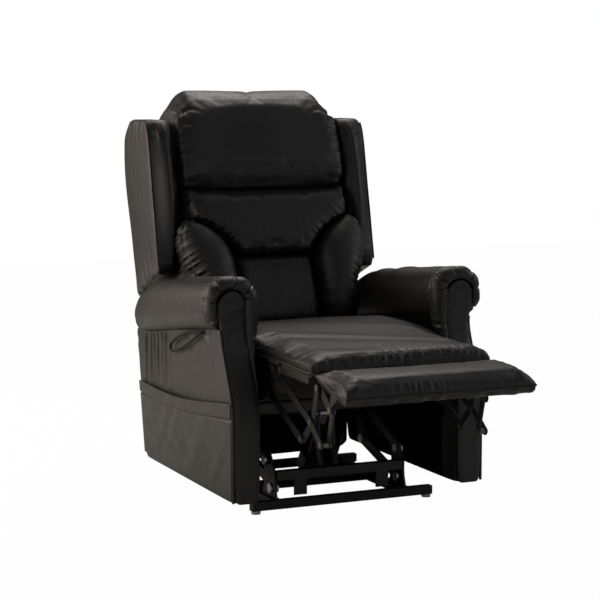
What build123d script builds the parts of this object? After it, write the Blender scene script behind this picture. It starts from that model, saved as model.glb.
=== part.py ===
from build123d import *
import math
import os

# Powered lift chair, shown with its footrest part way out and its back a little reclined.
# Millimetres. +Z is up, the sitter faces -Y, +X is the sitter's left hand.
# While it is drawn, Y is counted from the lower front of the arms; the whole chair is moved at
# the end so that its origin is the middle of its bounding box on the floor.

# Arms
ARM_INNER = 296.0
ARM_THICK = 75.0
ARM_LENGTH = 780.0
ARM_HEM = 58.0
ARM_SWEEP = 80.0
SEAM_FRONT = 498.0
SEAM_REAR = 425.0
ROLL_HEIGHT = 156.0
ROLL_INNER_LAP = 32.0
ROLL_OUTER_LAP = 43.0
PANEL_THICK = 14.0
POCKET_DEPTH = 18.0
# Seat
SEAT_HALF = 210.0
SEAT_FRONT = 58.0
SEAT_REAR = 500.0
PAD_HALF = 260.0
PAD_CROWN = 60.0
RAIL_UNDER = 270.0
RAIL_DEEP = 39.0
# Back
BACK_LEAN = 20.0
WING_INNER = 283.0
WING_THICK = 69.0
APRON_HEM = 110.0
# Footrest
FOOT_PAD_LONG = 176.0
FOOT_PAD_THICK = 42.0
FOOT_TILT = 10.0
CALF_LONG = 206.0
CALF_TILT = 1.0
# Floor base
BASE_HALF = 275.0
BASE_FRONT = 108.0
BASE_REAR = 624.0
BASE_TUBE = 24.0
GLIDE_HEIGHT = 9.0
# Clearances
SEATED = 0.3
RUNNING = 0.05

GAP = 3.0
BAR = 4.0


def point(y, z):
    return Vector(y, z)


def turned(vector, degrees):
    angle = math.radians(degrees)
    return Vector(
        vector.X * math.cos(angle) - vector.Y * math.sin(angle),
        vector.X * math.sin(angle) + vector.Y * math.cos(angle),
    )


def block(x_from, x_to, y_from, y_to, z_from, z_to):
    size = Box(x_to - x_from, y_to - y_from, z_to - z_from)
    return Pos((x_from + x_to) / 2, (y_from + y_to) / 2, (z_from + z_to) / 2) * size


def across(outline, x_from, x_to):
    return extrude(Plane.YZ.offset(x_from) * outline, x_to - x_from)


def plate(points, x_from, x_to):
    outline = make_face(Polyline([(p.X, p.Y) for p in points], close=True))
    return across(outline, x_from, x_to)


def rod(centre, radius, x_from, x_to):
    return across(Pos(centre.X, centre.Y) * Circle(radius), x_from, x_to)


def strap(points, radius, x_from, x_to, holes=()):
    outline = Sketch()
    for start, end in zip(points, points[1:]):
        run = end - start
        middle = (start + end) / 2
        heading = math.degrees(math.atan2(run.Y, run.X))
        slot = SlotCenterToCenter(run.length, 2 * radius)
        outline += Pos(middle.X, middle.Y) * Rot(Z=heading) * slot
    for centre, hole_radius in holes:
        outline -= Pos(centre.X, centre.Y) * Circle(hole_radius)
    return across(outline, x_from, x_to)


def rivet(centre, radius, x_from, x_to, head=2.5, washer=None):
    pin = rod(centre, radius, x_from, x_to)
    pin += rod(centre, radius * 1.7, x_from - head, x_from)
    pin += rod(centre, radius * 1.7, x_to, x_to + head)
    if washer:
        pin += rod(centre, radius * 1.6, washer[0], washer[1])
    return pin


def both(piece):
    return Compound(children=[piece, mirror(piece, about=Plane.YZ)])


def mirrored(piece):
    return mirror(piece, about=Plane.YZ)


def rounded(width, height, corner):
    return RectangleRounded(width, height, min(corner, 0.49 * width, 0.49 * height))


parts = {}
pivots = {}

# Floor base
# A welded frame of square tube stands on four glides: a front rail, a rear rail, two side rails
# and a cross rail that carries the foot of the lift actuator.
rail_under = GLIDE_HEIGHT
rail_top = GLIDE_HEIGHT + BASE_TUBE
side_in = 185.0
side_out = side_in + BASE_TUBE
front_back = BASE_FRONT + BASE_TUBE
rear_front = BASE_REAR - BASE_TUBE

lower_pivot = point(BASE_FRONT + 52, rail_top + 25)
upper_pivot = point(BASE_FRONT + 77, rail_top + 100)
lever_radius = 200.0
foot_angle = -3.7
lever_open = 70.0
actuator_foot = lower_pivot + turned(Vector(lever_radius, 0), foot_angle)
lever_tip = lower_pivot + turned(Vector(lever_radius, 0), foot_angle + lever_open)

parts["base_front_rail"] = block(-BASE_HALF, BASE_HALF, BASE_FRONT, front_back, rail_under, rail_top)
parts["base_rear_rail"] = block(-BASE_HALF, BASE_HALF, rear_front, BASE_REAR, rail_under, rail_top)
side_rail = block(side_in, side_out, front_back + SEATED, rear_front - SEATED, rail_under, rail_top)
parts["base_side_rails"] = both(side_rail)

cross_front = actuator_foot.X - BASE_TUBE / 2
foot_ear = rod(actuator_foot, 11, 19, 24)
foot_ear += block(19, 24, actuator_foot.X - 11, actuator_foot.X + 11, rail_top, actuator_foot.Y)
foot_ear -= rod(actuator_foot, 6 + RUNNING, 18, 25)
cross_rail = block(-side_in, side_in, cross_front, cross_front + BASE_TUBE, rail_under, rail_top)
parts["base_cross_rail"] = cross_rail + foot_ear + mirrored(foot_ear)

glide_reach = BASE_HALF - 14
glides = []
for side in (-1, 1):
    for along in (BASE_FRONT + BASE_TUBE / 2, BASE_REAR - BASE_TUBE / 2):
        glides.append(Pos(side * glide_reach, along, rail_under / 2) * Cylinder(13, rail_under))
parts["floor_glides"] = Compound(children=glides)

# Riser plates stand on the side rails and carry the front pivots of the lift arms.
riser_in = side_in + 9
riser_out = riser_in + 6
riser_outline = [
    point(front_back - 8, rail_top),
    lower_pivot + point(-26, 6),
    lower_pivot + point(-22, 49),
    upper_pivot + point(-14, 23),
    upper_pivot + point(4, 30),
    upper_pivot + point(20, 20),
    upper_pivot + point(24, -6),
    lower_pivot + point(44, 10),
    point(lower_pivot.X + 62, rail_top),
]
pivot_bolt = 8.0
riser = plate(riser_outline, riser_in, riser_out)
riser -= rod(lower_pivot, pivot_bolt + RUNNING, riser_in - 1, riser_out + 1)
riser -= rod(upper_pivot, pivot_bolt + RUNNING, riser_in - 1, riser_out + 1)
parts["riser_plates"] = both(riser)

tube_middle = lower_pivot + point(-24, 39)
riser_tube = block(
    -riser_in, riser_in, tube_middle.X - 12, tube_middle.X + 12, tube_middle.Y - 12.5, tube_middle.Y + 12.5
)
tab_top = tube_middle.Y - 12.5
riser_tab = block(106, 144, tube_middle.X - 11, tube_middle.X - 6, rail_top + 7, tab_top)
parts["riser_cross_tube"] = riser_tube + riser_tab + mirrored(riser_tab)

# Lift arms
# Two pairs of flat arms run back from the risers to the carrier plates under the seat.
lower_in = riser_in - 7.5
lower_out = lower_in + 5
upper_in = riser_out + 2.5
upper_out = upper_in + 5
lower_carrier = lower_pivot + point(226, 68)
upper_carrier = upper_pivot + point(279, 121)
arm_heading = math.degrees(math.atan2(68, 226))
open_slack = 2.4

bolts = []
bolts.append(rivet(lower_pivot, pivot_bolt, lower_in - 0.4, riser_out + 0.4, head=5))
upper_bolt = rod(upper_pivot, pivot_bolt, riser_in - 1.6, upper_out + 0.4)
upper_bolt += rod(upper_pivot, pivot_bolt * 1.5, riser_in - 1.6, riser_in - 0.2)
upper_bolt += rod(upper_pivot, pivot_bolt * 1.7, upper_out + 0.4, upper_out + 5)
bolts.append(upper_bolt)
bolts = bolts + [mirrored(bolt) for bolt in bolts]
bolts.append(rivet(actuator_foot, 6, -25, 25, head=3))
parts["base_pivot_bolts"] = Compound(children=bolts)

lower_arm_holes = ((lower_pivot, pivot_bolt + RUNNING), (lower_carrier, pivot_bolt + RUNNING))
lower_arm = strap([lower_pivot, lower_carrier], 15, lower_in, lower_out, lower_arm_holes)
parts["lower_lift_arms"] = both(lower_arm)

upper_arm_holes = ((upper_pivot, pivot_bolt + RUNNING), (upper_carrier, pivot_bolt + open_slack))
upper_arm = strap([upper_pivot, upper_carrier], 14, upper_in, upper_out, upper_arm_holes)
parts["upper_lift_arms"] = both(upper_arm)

studs = []
for along in (80, 128):
    stud_place = upper_pivot + (upper_carrier - upper_pivot).normalized() * along
    studs.append(rod(stud_place, 7, upper_out + 0.1, upper_out + 5))
parts["lift_arm_studs"] = Compound(children=studs + [mirrored(stud) for stud in studs])

torque_middle = lower_pivot + turned(Vector(42, 0), arm_heading)
torque_tube = rod(torque_middle, 11, -lower_in + 0.2, lower_in - 0.2)
lever_elbow = torque_middle + point(35, 79)
for lever_in in (20, -26):
    lever = strap([torque_middle, lever_elbow, lever_tip], 11, lever_in, lever_in + 6)
    torque_tube += lever
torque_tube -= rod(lever_tip, 6 + RUNNING, -30, 30)
parts["lift_torque_tube"] = torque_tube
parts["lever_pin"] = rivet(lever_tip, 6, -26.5, 26.5, head=3)

# Lift actuator
# A geared motor turns a screw that pushes the rod out of its tube and swings the lever forward.
actuator_run = lever_tip - actuator_foot
actuator_long = actuator_run.length
actuator_turn = math.degrees(math.atan2(-actuator_run.X, actuator_run.Y))
actuator_place = Pos(0, actuator_foot.X, actuator_foot.Y) * Rot(X=actuator_turn)
rod_radius = 12.0
tube_end = 195.0
eye = Rot(Y=90) * Cylinder(11, 36)
housing = eye + Pos(0, 0, 12) * Box(34, 18, 22)
housing += Pos(0, 0, 44) * fillet(Box(60, 56, 54).edges().filter_by(Axis.Z), 8)
housing += Pos(0, 0, (70 + tube_end) / 2) * Cylinder(17, tube_end - 70)
housing += Pos(44, 0, 42) * Box(34, 48, 42)
housing -= Rot(Y=90) * Cylinder(6 + RUNNING, 40)
housing -= Pos(0, 0, (30 + tube_end + 2) / 2) * Cylinder(rod_radius + 2 * RUNNING, tube_end + 2 - 30)
parts["actuator_housing"] = actuator_place * housing
motor = Pos(56, 0, 63.2 + 45) * Cylinder(22, 90)
motor += Pos(56, 0, 63.2 + 93) * Cylinder(17, 6)
motor += Pos(56, -24, 63.2 + 70) * Rot(X=90) * Cylinder(6, 14)
parts["actuator_motor"] = actuator_place * motor
push_rod = Pos(0, 0, (45 + actuator_long - 6) / 2) * Cylinder(rod_radius, actuator_long - 6 - 45)
push_rod += Pos(0, 0, actuator_long) * Rot(Y=90) * Cylinder(12, 36)
push_rod -= Pos(0, 0, actuator_long) * Rot(Y=90) * Cylinder(6 + RUNNING, 40)
parts["actuator_rod"] = actuator_place * push_rod

# Seat frame
# Timber rails between the two arms carry the deck; steel carrier plates hang below the side rails.
rail_level = RAIL_UNDER + RAIL_DEEP
front_rail_front = SEAT_FRONT + 50
front_rail_back = front_rail_front + 37
rear_rail_front = SEAT_REAR + 35
rear_rail_back = rear_rail_front + 35
cross_reach = ARM_INNER - 0.5
front_rail = block(-cross_reach, cross_reach, front_rail_front, front_rail_back, RAIL_UNDER, rail_level)
parts["seat_front_rail"] = fillet(front_rail.edges().filter_by(Axis.X), 7)
parts["seat_rear_rail"] = block(
    -cross_reach, cross_reach, rear_rail_front, rear_rail_back, RAIL_UNDER, rail_level
)
flange_thick = 4.0
rail_in = riser_out + 13
rail_out = rail_in + 27
rail_run = (front_rail_back + SEATED, rear_rail_front - SEATED)
parts["seat_side_rails"] = both(block(rail_in, rail_out, *rail_run, RAIL_UNDER, rail_level - flange_thick))
carrier = strap([lower_carrier, upper_carrier], 20, riser_in, riser_out)
carrier += block(riser_in, riser_out, upper_carrier.X - 44, upper_carrier.X + 66, upper_carrier.Y, rail_level)
carrier += block(
    riser_in, rail_out, upper_carrier.X - 44, upper_carrier.X + 66, rail_level - flange_thick, rail_level
)
carrier -= rod(lower_carrier, pivot_bolt + RUNNING, riser_in - 1, riser_out + 1)
carrier -= rod(upper_carrier, pivot_bolt + RUNNING, riser_in - 1, riser_out + 1)
parts["carrier_plates"] = both(carrier)
# The outer head of the lower bolt is thin, because the upper arm swings past it.
lower_bolt = rod(lower_carrier, pivot_bolt, lower_in - 0.4, riser_out + 0.2)
lower_bolt += rod(lower_carrier, pivot_bolt * 1.7, lower_in - 5.4, lower_in - 0.4)
lower_bolt += rod(lower_carrier, pivot_bolt * 1.4, riser_out + 0.2, riser_out + 1.6)
carrier_bolts = [lower_bolt, rivet(upper_carrier, pivot_bolt, riser_in - 0.4, upper_out + 0.6, head=4)]
parts["carrier_bolts"] = Compound(children=carrier_bolts + [mirrored(bolt) for bolt in carrier_bolts])

deck_level = rail_level + 12 + SEATED
deck_half = PAD_HALF - 20
parts["seat_deck"] = block(
    -deck_half, deck_half, front_rail_front + 4, rear_rail_back - 4, rail_level + SEATED, deck_level
)

# Seat cushion
# A boxed foam block sits on the deck, under a broad loose pad that runs on over the calf board.
board_thick = 8.0
calf_pivot = point(SEAT_FRONT - 88, deck_level + 96.7)
board_under = calf_pivot.Y + 9.5
board_top = board_under + board_thick
cushion_under = deck_level + SEATED
cushion_top = board_top - SEATED
cushion_high = cushion_top - cushion_under
cushion_middle = (cushion_under + cushion_top) / 2
cushion_faces = []
for along, width, height in (
    (SEAT_FRONT, 2 * SEAT_HALF - 26, cushion_high - 12),
    (SEAT_FRONT + 45, 2 * SEAT_HALF, cushion_high),
    (SEAT_REAR - 45, 2 * SEAT_HALF, cushion_high),
    (SEAT_REAR, 2 * SEAT_HALF - 26, cushion_high - 12),
):
    section = Plane((0, along, cushion_middle), x_dir=(1, 0, 0), z_dir=(0, 1, 0)) * rounded(width, height, 22)
    cushion_faces.append(section)
parts["seat_cushion"] = loft(cushion_faces, ruled=True)
pad_front = calf_pivot.X + 13
pad_rear = SEAT_REAR - 50
parts["seat_front_board"] = block(
    -PAD_HALF + 8, PAD_HALF - 8, calf_pivot.X + 12, SEAT_FRONT - 2, board_under, board_top
)
pad_under = board_top + SEATED
between_arms = ARM_INNER - 10
pad_faces = []
for along, half, high in (
    (pad_front, PAD_HALF - 6, 0.44 * PAD_CROWN),
    (pad_front + 70, PAD_HALF, 0.74 * PAD_CROWN),
    (ARM_SWEEP + 80, between_arms, PAD_CROWN),
    (pad_rear - 110, between_arms, 0.92 * PAD_CROWN),
    (pad_rear, between_arms - 12, 0.58 * PAD_CROWN),
):
    section = Plane((0, along, pad_under + high / 2), x_dir=(1, 0, 0), z_dir=(0, 1, 0))
    pad_faces.append(section * rounded(2 * half, high, 0.4 * high))
parts["seat_pad"] = loft(pad_faces, ruled=True)

# Footrest linkage
# Each side is a pair of parallelograms: A and B swing from the front plate, C and D carry the pad.
front_link_root = calf_pivot + point(50, -23)
link_offset = point(60, -55)
rear_link_root = front_link_root + link_offset
knee = front_link_root + point(-208, -92)
rear_knee = knee + link_offset
toe = knee + point(-63, -48)
carry = point(-26, 93)
foot_rear = knee + carry
foot_front = toe + carry
rivet_radius = 5.0
fit = rivet_radius + RUNNING
layer_d = PAD_HALF - 46.0
layer_f = layer_d + BAR + GAP
layer_c = layer_f + BAR + GAP
layer_b = layer_c + BAR + GAP
layer_m = layer_b + BAR + GAP
layer_h = layer_m + BAR + GAP

mount_plate = strap([calf_pivot, front_link_root], 9, layer_m, layer_m + BAR)
mount_plate += strap([front_link_root, rear_link_root], 13, layer_m, layer_m + BAR)
mount_foot = point(front_rail_front + 18, rail_level + 12)
mount_plate += strap([rear_link_root, mount_foot], 11, layer_m, layer_m + BAR)
mount_plate += block(
    layer_m, layer_m + BAR, front_rail_front + 2, front_rail_back - 2, rail_level + SEATED, rail_level + 20
)
mount_plate += block(
    layer_m, layer_m + 28, front_rail_front + 2, front_rail_back - 2, rail_level + SEATED, rail_level + 4
)
for centre in (calf_pivot, front_link_root, rear_link_root):
    mount_plate -= rod(centre, fit, layer_m - 1, layer_m + BAR + 1)
parts["footrest_mount_plates"] = both(mount_plate)
mount_rivets = []
for centre in (front_link_root, rear_link_root):
    washer = (layer_b + BAR + 0.2, layer_m - 0.2)
    mount_rivets.append(rivet(centre, rivet_radius, layer_b - 0.3, layer_m + BAR + 0.3, 2.0, washer))
calf_washer = (layer_m + BAR + 0.2, layer_h - 0.2)
mount_rivets.append(rivet(calf_pivot, rivet_radius, layer_m - 0.3, layer_h + BAR + 0.3, 2.0, calf_washer))
parts["mount_plate_rivets"] = Compound(children=mount_rivets + [mirrored(one) for one in mount_rivets])

rear_link = strap(
    [rear_link_root, rear_knee], 11, layer_b, layer_b + BAR, ((rear_link_root, fit), (rear_knee, fit))
)
parts["footrest_rear_links"] = both(rear_link)
knee_washer = (layer_c + BAR + 0.2, layer_b - 0.2)
rear_rivet = rivet(rear_knee, rivet_radius, layer_c - 0.3, layer_b + BAR + 0.3, 2.0, knee_washer)
parts["rear_link_rivets"] = both(rear_rivet)

front_link_holes = ((front_link_root, fit), (knee, fit), (toe, fit))
front_link = strap([front_link_root, knee, toe], 11, layer_b, layer_b + BAR, front_link_holes)
parts["footrest_front_links"] = both(front_link)
toe_washer = (layer_d + BAR + 0.2, layer_b - 0.2)
front_rivets = [
    rivet(knee, rivet_radius, layer_c - 0.3, layer_b + BAR + 0.3, 2.0, knee_washer),
    rivet(toe, rivet_radius, layer_d - 0.3, layer_b + BAR + 0.3, 2.0, toe_washer),
]
parts["front_link_rivets"] = Compound(children=front_rivets + [mirrored(one) for one in front_rivets])

cross_link_holes = ((rear_knee, fit), (knee, fit), (foot_rear, fit))
cross_link = strap([rear_knee, knee, foot_rear], 11, layer_c, layer_c + BAR, cross_link_holes)
parts["footrest_cross_links"] = both(cross_link)
toe_link = strap([toe, foot_front], 10, layer_d, layer_d + BAR, ((toe, fit), (foot_front, fit)))
parts["footrest_toe_links"] = both(toe_link)

# Footrest
# A board under the pad is screwed to a steel bracket on each side.
pad_corner = knee + point(-96, 135)
foot_along = turned(Vector(-1, 0), FOOT_TILT)
foot_up = turned(Vector(0, 1), FOOT_TILT)


def on_foot(along, up):
    return pad_corner + foot_along * along + foot_up * up


foot_pad_under = -8.0
foot_board_top = foot_pad_under - SEATED
foot_board_under = foot_board_top - 10
foot_reach = FOOT_PAD_LONG - 40
bracket = strap([foot_rear, foot_front], 12, layer_f, layer_f + BAR)
web_outline = [
    foot_front,
    on_foot(8, foot_board_under - 2),
    on_foot(foot_reach, foot_board_under - 2),
    on_foot(foot_reach, foot_board_under - 16),
    on_foot(50, foot_board_under - 26),
]
bracket += plate(web_outline, layer_f, layer_f + BAR)
lip_outline = [
    on_foot(8, foot_board_under - SEATED),
    on_foot(foot_reach, foot_board_under - SEATED),
    on_foot(foot_reach, foot_board_under - 4),
    on_foot(8, foot_board_under - 4),
]
bracket += plate(lip_outline, layer_f, layer_f + 30)
bracket -= rod(foot_rear, fit, layer_f - 1, layer_f + BAR + 1)
bracket -= rod(foot_front, fit, layer_f - 1, layer_f + BAR + 1)
parts["footrest_brackets"] = both(bracket)
foot_rivets = [
    rivet(foot_rear, rivet_radius, layer_f - 0.3, layer_c + BAR + 0.3, 2.0, (layer_f + BAR + 0.2, layer_c - 0.2)),
    rivet(foot_front, rivet_radius, layer_d - 0.3, layer_f + BAR + 0.3, 2.0, (layer_d + BAR + 0.2, layer_f - 0.2)),
]
parts["footrest_rivets"] = Compound(children=foot_rivets + [mirrored(one) for one in foot_rivets])
foot_half = PAD_HALF
board_outline = [
    on_foot(5, foot_board_top),
    on_foot(FOOT_PAD_LONG - 5, foot_board_top),
    on_foot(FOOT_PAD_LONG - 5, foot_board_under),
    on_foot(5, foot_board_under),
]
parts["footrest_board"] = plate(board_outline, -foot_half + 10, foot_half - 10)


def slab(centre, up, along_size, up_size, x_place, corner):
    place = Plane((x_place, centre.X, centre.Y), x_dir=(0, up.Y, -up.X), z_dir=(1, 0, 0))
    return place * rounded(along_size, up_size, corner)


def crowned(middle_under, up, half, sizes):
    faces = []
    for share, along_size, up_size in sizes:
        centre = middle_under + up * (up_size / 2)
        faces.append(slab(centre, up, along_size, up_size, share * half, 0.42 * up_size))
    return loft(faces, ruled=True)


foot_middle = on_foot(FOOT_PAD_LONG / 2, foot_pad_under)
foot_sizes = []
for share, shorter, lower in ((-1, 14, 0.5), (-0.85, 2, 0.95), (0, 0, 1.12), (0.85, 2, 0.95), (1, 14, 0.5)):
    foot_sizes.append((share, FOOT_PAD_LONG - shorter, lower * FOOT_PAD_THICK))
parts["footrest_pad"] = crowned(foot_middle, foot_up, foot_half, foot_sizes)

# Calf board
# A hinged board fills the space between seat and footrest and folds down with it.
calf_along = turned(Vector(-1, 0), CALF_TILT)
calf_up = turned(Vector(0, 1), CALF_TILT)


def on_calf(along, up):
    return calf_pivot + calf_along * along + calf_up * up


calf_bar = strap([calf_pivot, on_calf(CALF_LONG - 34, 0)], 9, layer_h, layer_h + BAR, ((calf_pivot, fit),))
parts["calf_brackets"] = both(calf_bar)
calf_board_outline = [
    on_calf(8, 9 + SEATED),
    on_calf(CALF_LONG - 8, 9 + SEATED),
    on_calf(CALF_LONG - 8, 9 + board_thick),
    on_calf(8, 9 + board_thick),
]
parts["calf_board"] = plate(calf_board_outline, -PAD_HALF + 6, PAD_HALF - 6)
calf_middle = on_calf(CALF_LONG / 2 + 2, 9 + board_thick + SEATED)
calf_sizes = []
for share, shorter, high in ((-1, 14, 18), (-0.85, 4, 29), (0, 2, 34), (0.85, 4, 29), (1, 14, 18)):
    calf_sizes.append((share, CALF_LONG - shorter, high))
parts["calf_pad"] = crowned(calf_middle, calf_up, PAD_HALF, calf_sizes)

# Arms
# Each arm is a padded timber side with a swept front panel and a soft roll that slopes to the rear.
sweep_low = SEAM_FRONT - 168
sweep_high = SEAM_FRONT - 28
panel_top = SEAM_FRONT + 118
seam_start = ARM_SWEEP + PANEL_THICK


def seam_height(along):
    return SEAM_FRONT + (SEAM_REAR - SEAM_FRONT) * (along - seam_start) / (ARM_LENGTH - seam_start)


def front_curve(shift):
    return FilletPolyline(
        (shift, ARM_HEM),
        (shift, sweep_low),
        (shift + ARM_SWEEP, sweep_high),
        (shift + ARM_SWEEP, panel_top),
        radius=150,
    )


def front_sheet(shift_from, shift_to):
    inside = front_curve(shift_from)
    outside = front_curve(shift_to)
    bottom = Line((shift_from, ARM_HEM), (shift_to, ARM_HEM))
    top = Line((shift_from + ARM_SWEEP, panel_top), (shift_to + ARM_SWEEP, panel_top))
    return make_face([inside, top, outside, bottom])


arm_outer = ARM_INNER + ARM_THICK
panel_front_shape = [
    (ARM_INNER + 1, ARM_HEM),
    (ARM_INNER + 1, sweep_low + 60),
    (ARM_INNER + 7, SEAM_FRONT + 4),
    (ARM_INNER + 8, panel_top - 30),
    (ARM_INNER + 26, panel_top),
    (ARM_INNER + 68, panel_top),
    (ARM_INNER + 88, panel_top - 30),
    (ARM_INNER + 88, SEAM_FRONT + 62),
    (arm_outer, SEAM_FRONT + 12),
    (arm_outer - 2, sweep_low + 60),
    (arm_outer - 2, ARM_HEM),
]
panel_mask = make_face(Polyline(panel_front_shape, close=True))
panel_mask = extrude(Plane.XZ.offset(-ARM_SWEEP - 60) * panel_mask, ARM_SWEEP + 120)
front_panel = across(front_sheet(0, PANEL_THICK), ARM_INNER, ARM_INNER + 100) & panel_mask

# The side's top follows the seam below the roll; its rear edge leans back.
arm_profile = across(
    make_face(
        Polyline(
            [
                (-50, ARM_HEM),
                (ARM_LENGTH - 70, ARM_HEM + 9),
                (ARM_LENGTH, SEAM_REAR),
                (seam_start, SEAM_FRONT),
                (-50, seam_height(-50)),
            ],
            close=True,
        )
    ),
    ARM_INNER,
    arm_outer,
)
ahead = make_face(
    [
        front_curve(PANEL_THICK + SEATED),
        Line((PANEL_THICK + SEATED + ARM_SWEEP, panel_top), (-120, panel_top)),
        Line((-120, panel_top), (-120, ARM_HEM)),
        Line((-120, ARM_HEM), (PANEL_THICK + SEATED, ARM_HEM)),
    ]
)
arm_side = arm_profile - across(ahead, ARM_INNER - 5, arm_outer + 5)

roll_inner = ARM_INNER - ROLL_INNER_LAP
roll_outer = arm_outer + ROLL_OUTER_LAP
roll_faces = []
for along, high, draw_in, draw_out in (
    (seam_start + SEATED, 0.90 * ROLL_HEIGHT, 9, 9),
    (seam_start + 30, ROLL_HEIGHT, 0, 0),
    (seam_start + 320, ROLL_HEIGHT, 6, 2),
    (seam_start + 480, 0.97 * ROLL_HEIGHT, 18, 4),
    (ARM_LENGTH - 92, 0.87 * ROLL_HEIGHT, 20, 8),
    (ARM_LENGTH - 45, 0.70 * ROLL_HEIGHT, 22, 14),
    (ARM_LENGTH - 12, 0.40 * ROLL_HEIGHT, 28, 26),
):
    foot = seam_height(along) + SEATED
    width = roll_outer - roll_inner - draw_in - draw_out
    centre = ((roll_inner + draw_in + roll_outer - draw_out) / 2, along, foot + high / 2)
    roll_faces.append(Plane(centre, x_dir=(1, 0, 0), z_dir=(0, 1, 0)) * rounded(width, high, 0.4 * high))
arm_roll = loft(roll_faces, ruled=True)

parts["arm_left_side"] = arm_side
parts["arm_right_side"] = mirrored(arm_side)
parts["arm_left_roll"] = arm_roll
parts["arm_right_roll"] = mirrored(arm_roll)
parts["arm_left_front_panel"] = front_panel
parts["arm_right_front_panel"] = mirrored(front_panel)

# Side pocket
# An open-topped pocket is sewn to the outside of the sitter's right arm.
pocket_wall = 3.5
pocket_outline = [
    point(PANEL_THICK + 6, ARM_HEM + 9),
    point(ARM_LENGTH - 76, ARM_HEM + 17),
    point(ARM_LENGTH - 36, 288),
    point(PANEL_THICK + 6, 326),
]
hollow_outline = [
    point(PANEL_THICK + 6 + pocket_wall, ARM_HEM + 14),
    point(ARM_LENGTH - 82, ARM_HEM + 22),
    point(ARM_LENGTH - 36, 360),
    point(PANEL_THICK + 6 + pocket_wall, 360),
]
pocket_out = arm_outer + SEATED + POCKET_DEPTH
pocket = plate(pocket_outline, -pocket_out, -arm_outer - SEATED)
pocket -= plate(hollow_outline, -pocket_out + pocket_wall, -arm_outer)
parts["side_pocket"] = pocket

# Pull loop
# A soft cord loop hangs from the seam under the roll of the same arm.
cord_radius = 3.5
cord_x = -(arm_outer + cord_radius + SEATED)
cord_start = 214.0
cord_points = [
    (cord_start, seam_height(cord_start) - 0.2),
    (cord_start + 18, seam_height(cord_start) - 30),
    (cord_start + 100, seam_height(cord_start) - 46),
    (cord_start + 180, seam_height(cord_start) - 50),
    (cord_start + 234, seam_height(cord_start) - 66),
    (cord_start + 222, seam_height(cord_start) - 112),
    (cord_start + 150, seam_height(cord_start) - 100),
    (cord_start + 76, seam_height(cord_start) - 78),
    (cord_start + 44, seam_height(cord_start) - 46),
    (cord_start + 52, seam_height(cord_start + 52) - 0.2),
]
cord_bends = []
for before, corner, after in zip(cord_points, cord_points[1:], cord_points[2:]):
    arriving = Vector(*corner) - Vector(*before)
    leaving = Vector(*after) - Vector(*corner)
    turn = math.radians(arriving.get_angle(leaving))
    cord_bends.append(0.45 * min(arriving.length, leaving.length) / math.tan(turn / 2))
print("cord bend radii", [round(bend, 1) for bend in cord_bends])
cord_route = FilletPolyline([(cord_x, y, z) for y, z in cord_points], radius=cord_bends)
cord_section = Plane(origin=cord_route @ 0, z_dir=cord_route % 0) * Circle(cord_radius)
pull_loop = sweep(cord_section, path=cord_route)
print("cord length", round(cord_route.length, 1))
print("cord volume against section times length", pull_loop.volume / (math.pi * cord_radius**2 * cord_route.length))
parts["pull_loop"] = pull_loop

# Backrest
# The back is drawn upright and leaned by its own angle; n runs to the rear and s runs up the back.
back_pivot = point(SEAT_REAR + 50, rail_level + 51)
back_foot = back_pivot + turned(point(76, -4), -BACK_LEAN)
back_place = Pos(0, back_foot.X, back_foot.Y) * Rot(X=-BACK_LEAN)
pivot_n = -76.0
pivot_s = 4.0

recline_plate = strap([back_pivot, back_pivot + point(2, -36)], 14, layer_m + 4, layer_m + 9)
recline_plate += block(
    layer_m + 4, layer_m + 9, rear_rail_front + 3, rear_rail_back - 3, rail_level + SEATED, rail_level + 22
)
recline_plate -= rod(back_pivot, pivot_bolt + RUNNING, layer_m, layer_m + 12)
parts["recline_brackets"] = both(recline_plate)
recline_bolt = rivet(back_pivot, pivot_bolt, layer_m + 3.6, layer_m + 17, 3.0)
parts["recline_bolts"] = both(recline_bolt)

hinge_strap = strap([point(pivot_n, pivot_s), point(55, 14), point(55, 64)], 12, layer_m + 11.5, layer_m + 16.5)
hinge_strap -= rod(point(pivot_n, pivot_s), pivot_bolt + RUNNING, layer_m + 10, layer_m + 18)
parts["back_hinge_straps"] = back_place * both(hinge_strap)

stile_out = layer_m + 11.2
frame_front = 46.0
frame_top = 680.0
cover_top = 690.0
back_frame = block(-stile_out, stile_out, frame_front, frame_front + 18, 30, frame_top)
for level in (300, 600):
    back_frame += block(
        -WING_INNER + SEATED, WING_INNER - SEATED, frame_front, frame_front + 18, level, level + 60
    )
for side in (-1, 1):
    inner = side * (stile_out - 9)
    back_frame += block(inner - 9, inner + 9, frame_front + 14, frame_front + 52, 40, frame_top)
parts["back_frame"] = back_place * back_frame
cover_front = frame_front + 52 + SEATED
apron_top = back_foot + turned(point(cover_front, 0), -BACK_LEAN)
outside_back = back_place * block(
    -WING_INNER + 2, WING_INNER - 2, cover_front, cover_front + 10, 0, cover_top
)
outside_back += block(
    -WING_INNER + 2, WING_INNER - 2, apron_top.X, apron_top.X + 9, APRON_HEM, apron_top.Y + 1
)
parts["outside_back"] = outside_back
cushion_rear = frame_front - SEATED


def stacked(sections):
    faces = []
    for level, x_from, x_to, n_from, n_to, corner in sections:
        centre = ((x_from + x_to) / 2, (n_from + n_to) / 2, level)
        place = Plane(centre, x_dir=(1, 0, 0), z_dir=(0, 0, 1))
        faces.append(place * rounded(x_to - x_from, n_to - n_from, corner))
    return loft(faces, ruled=True)


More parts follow.
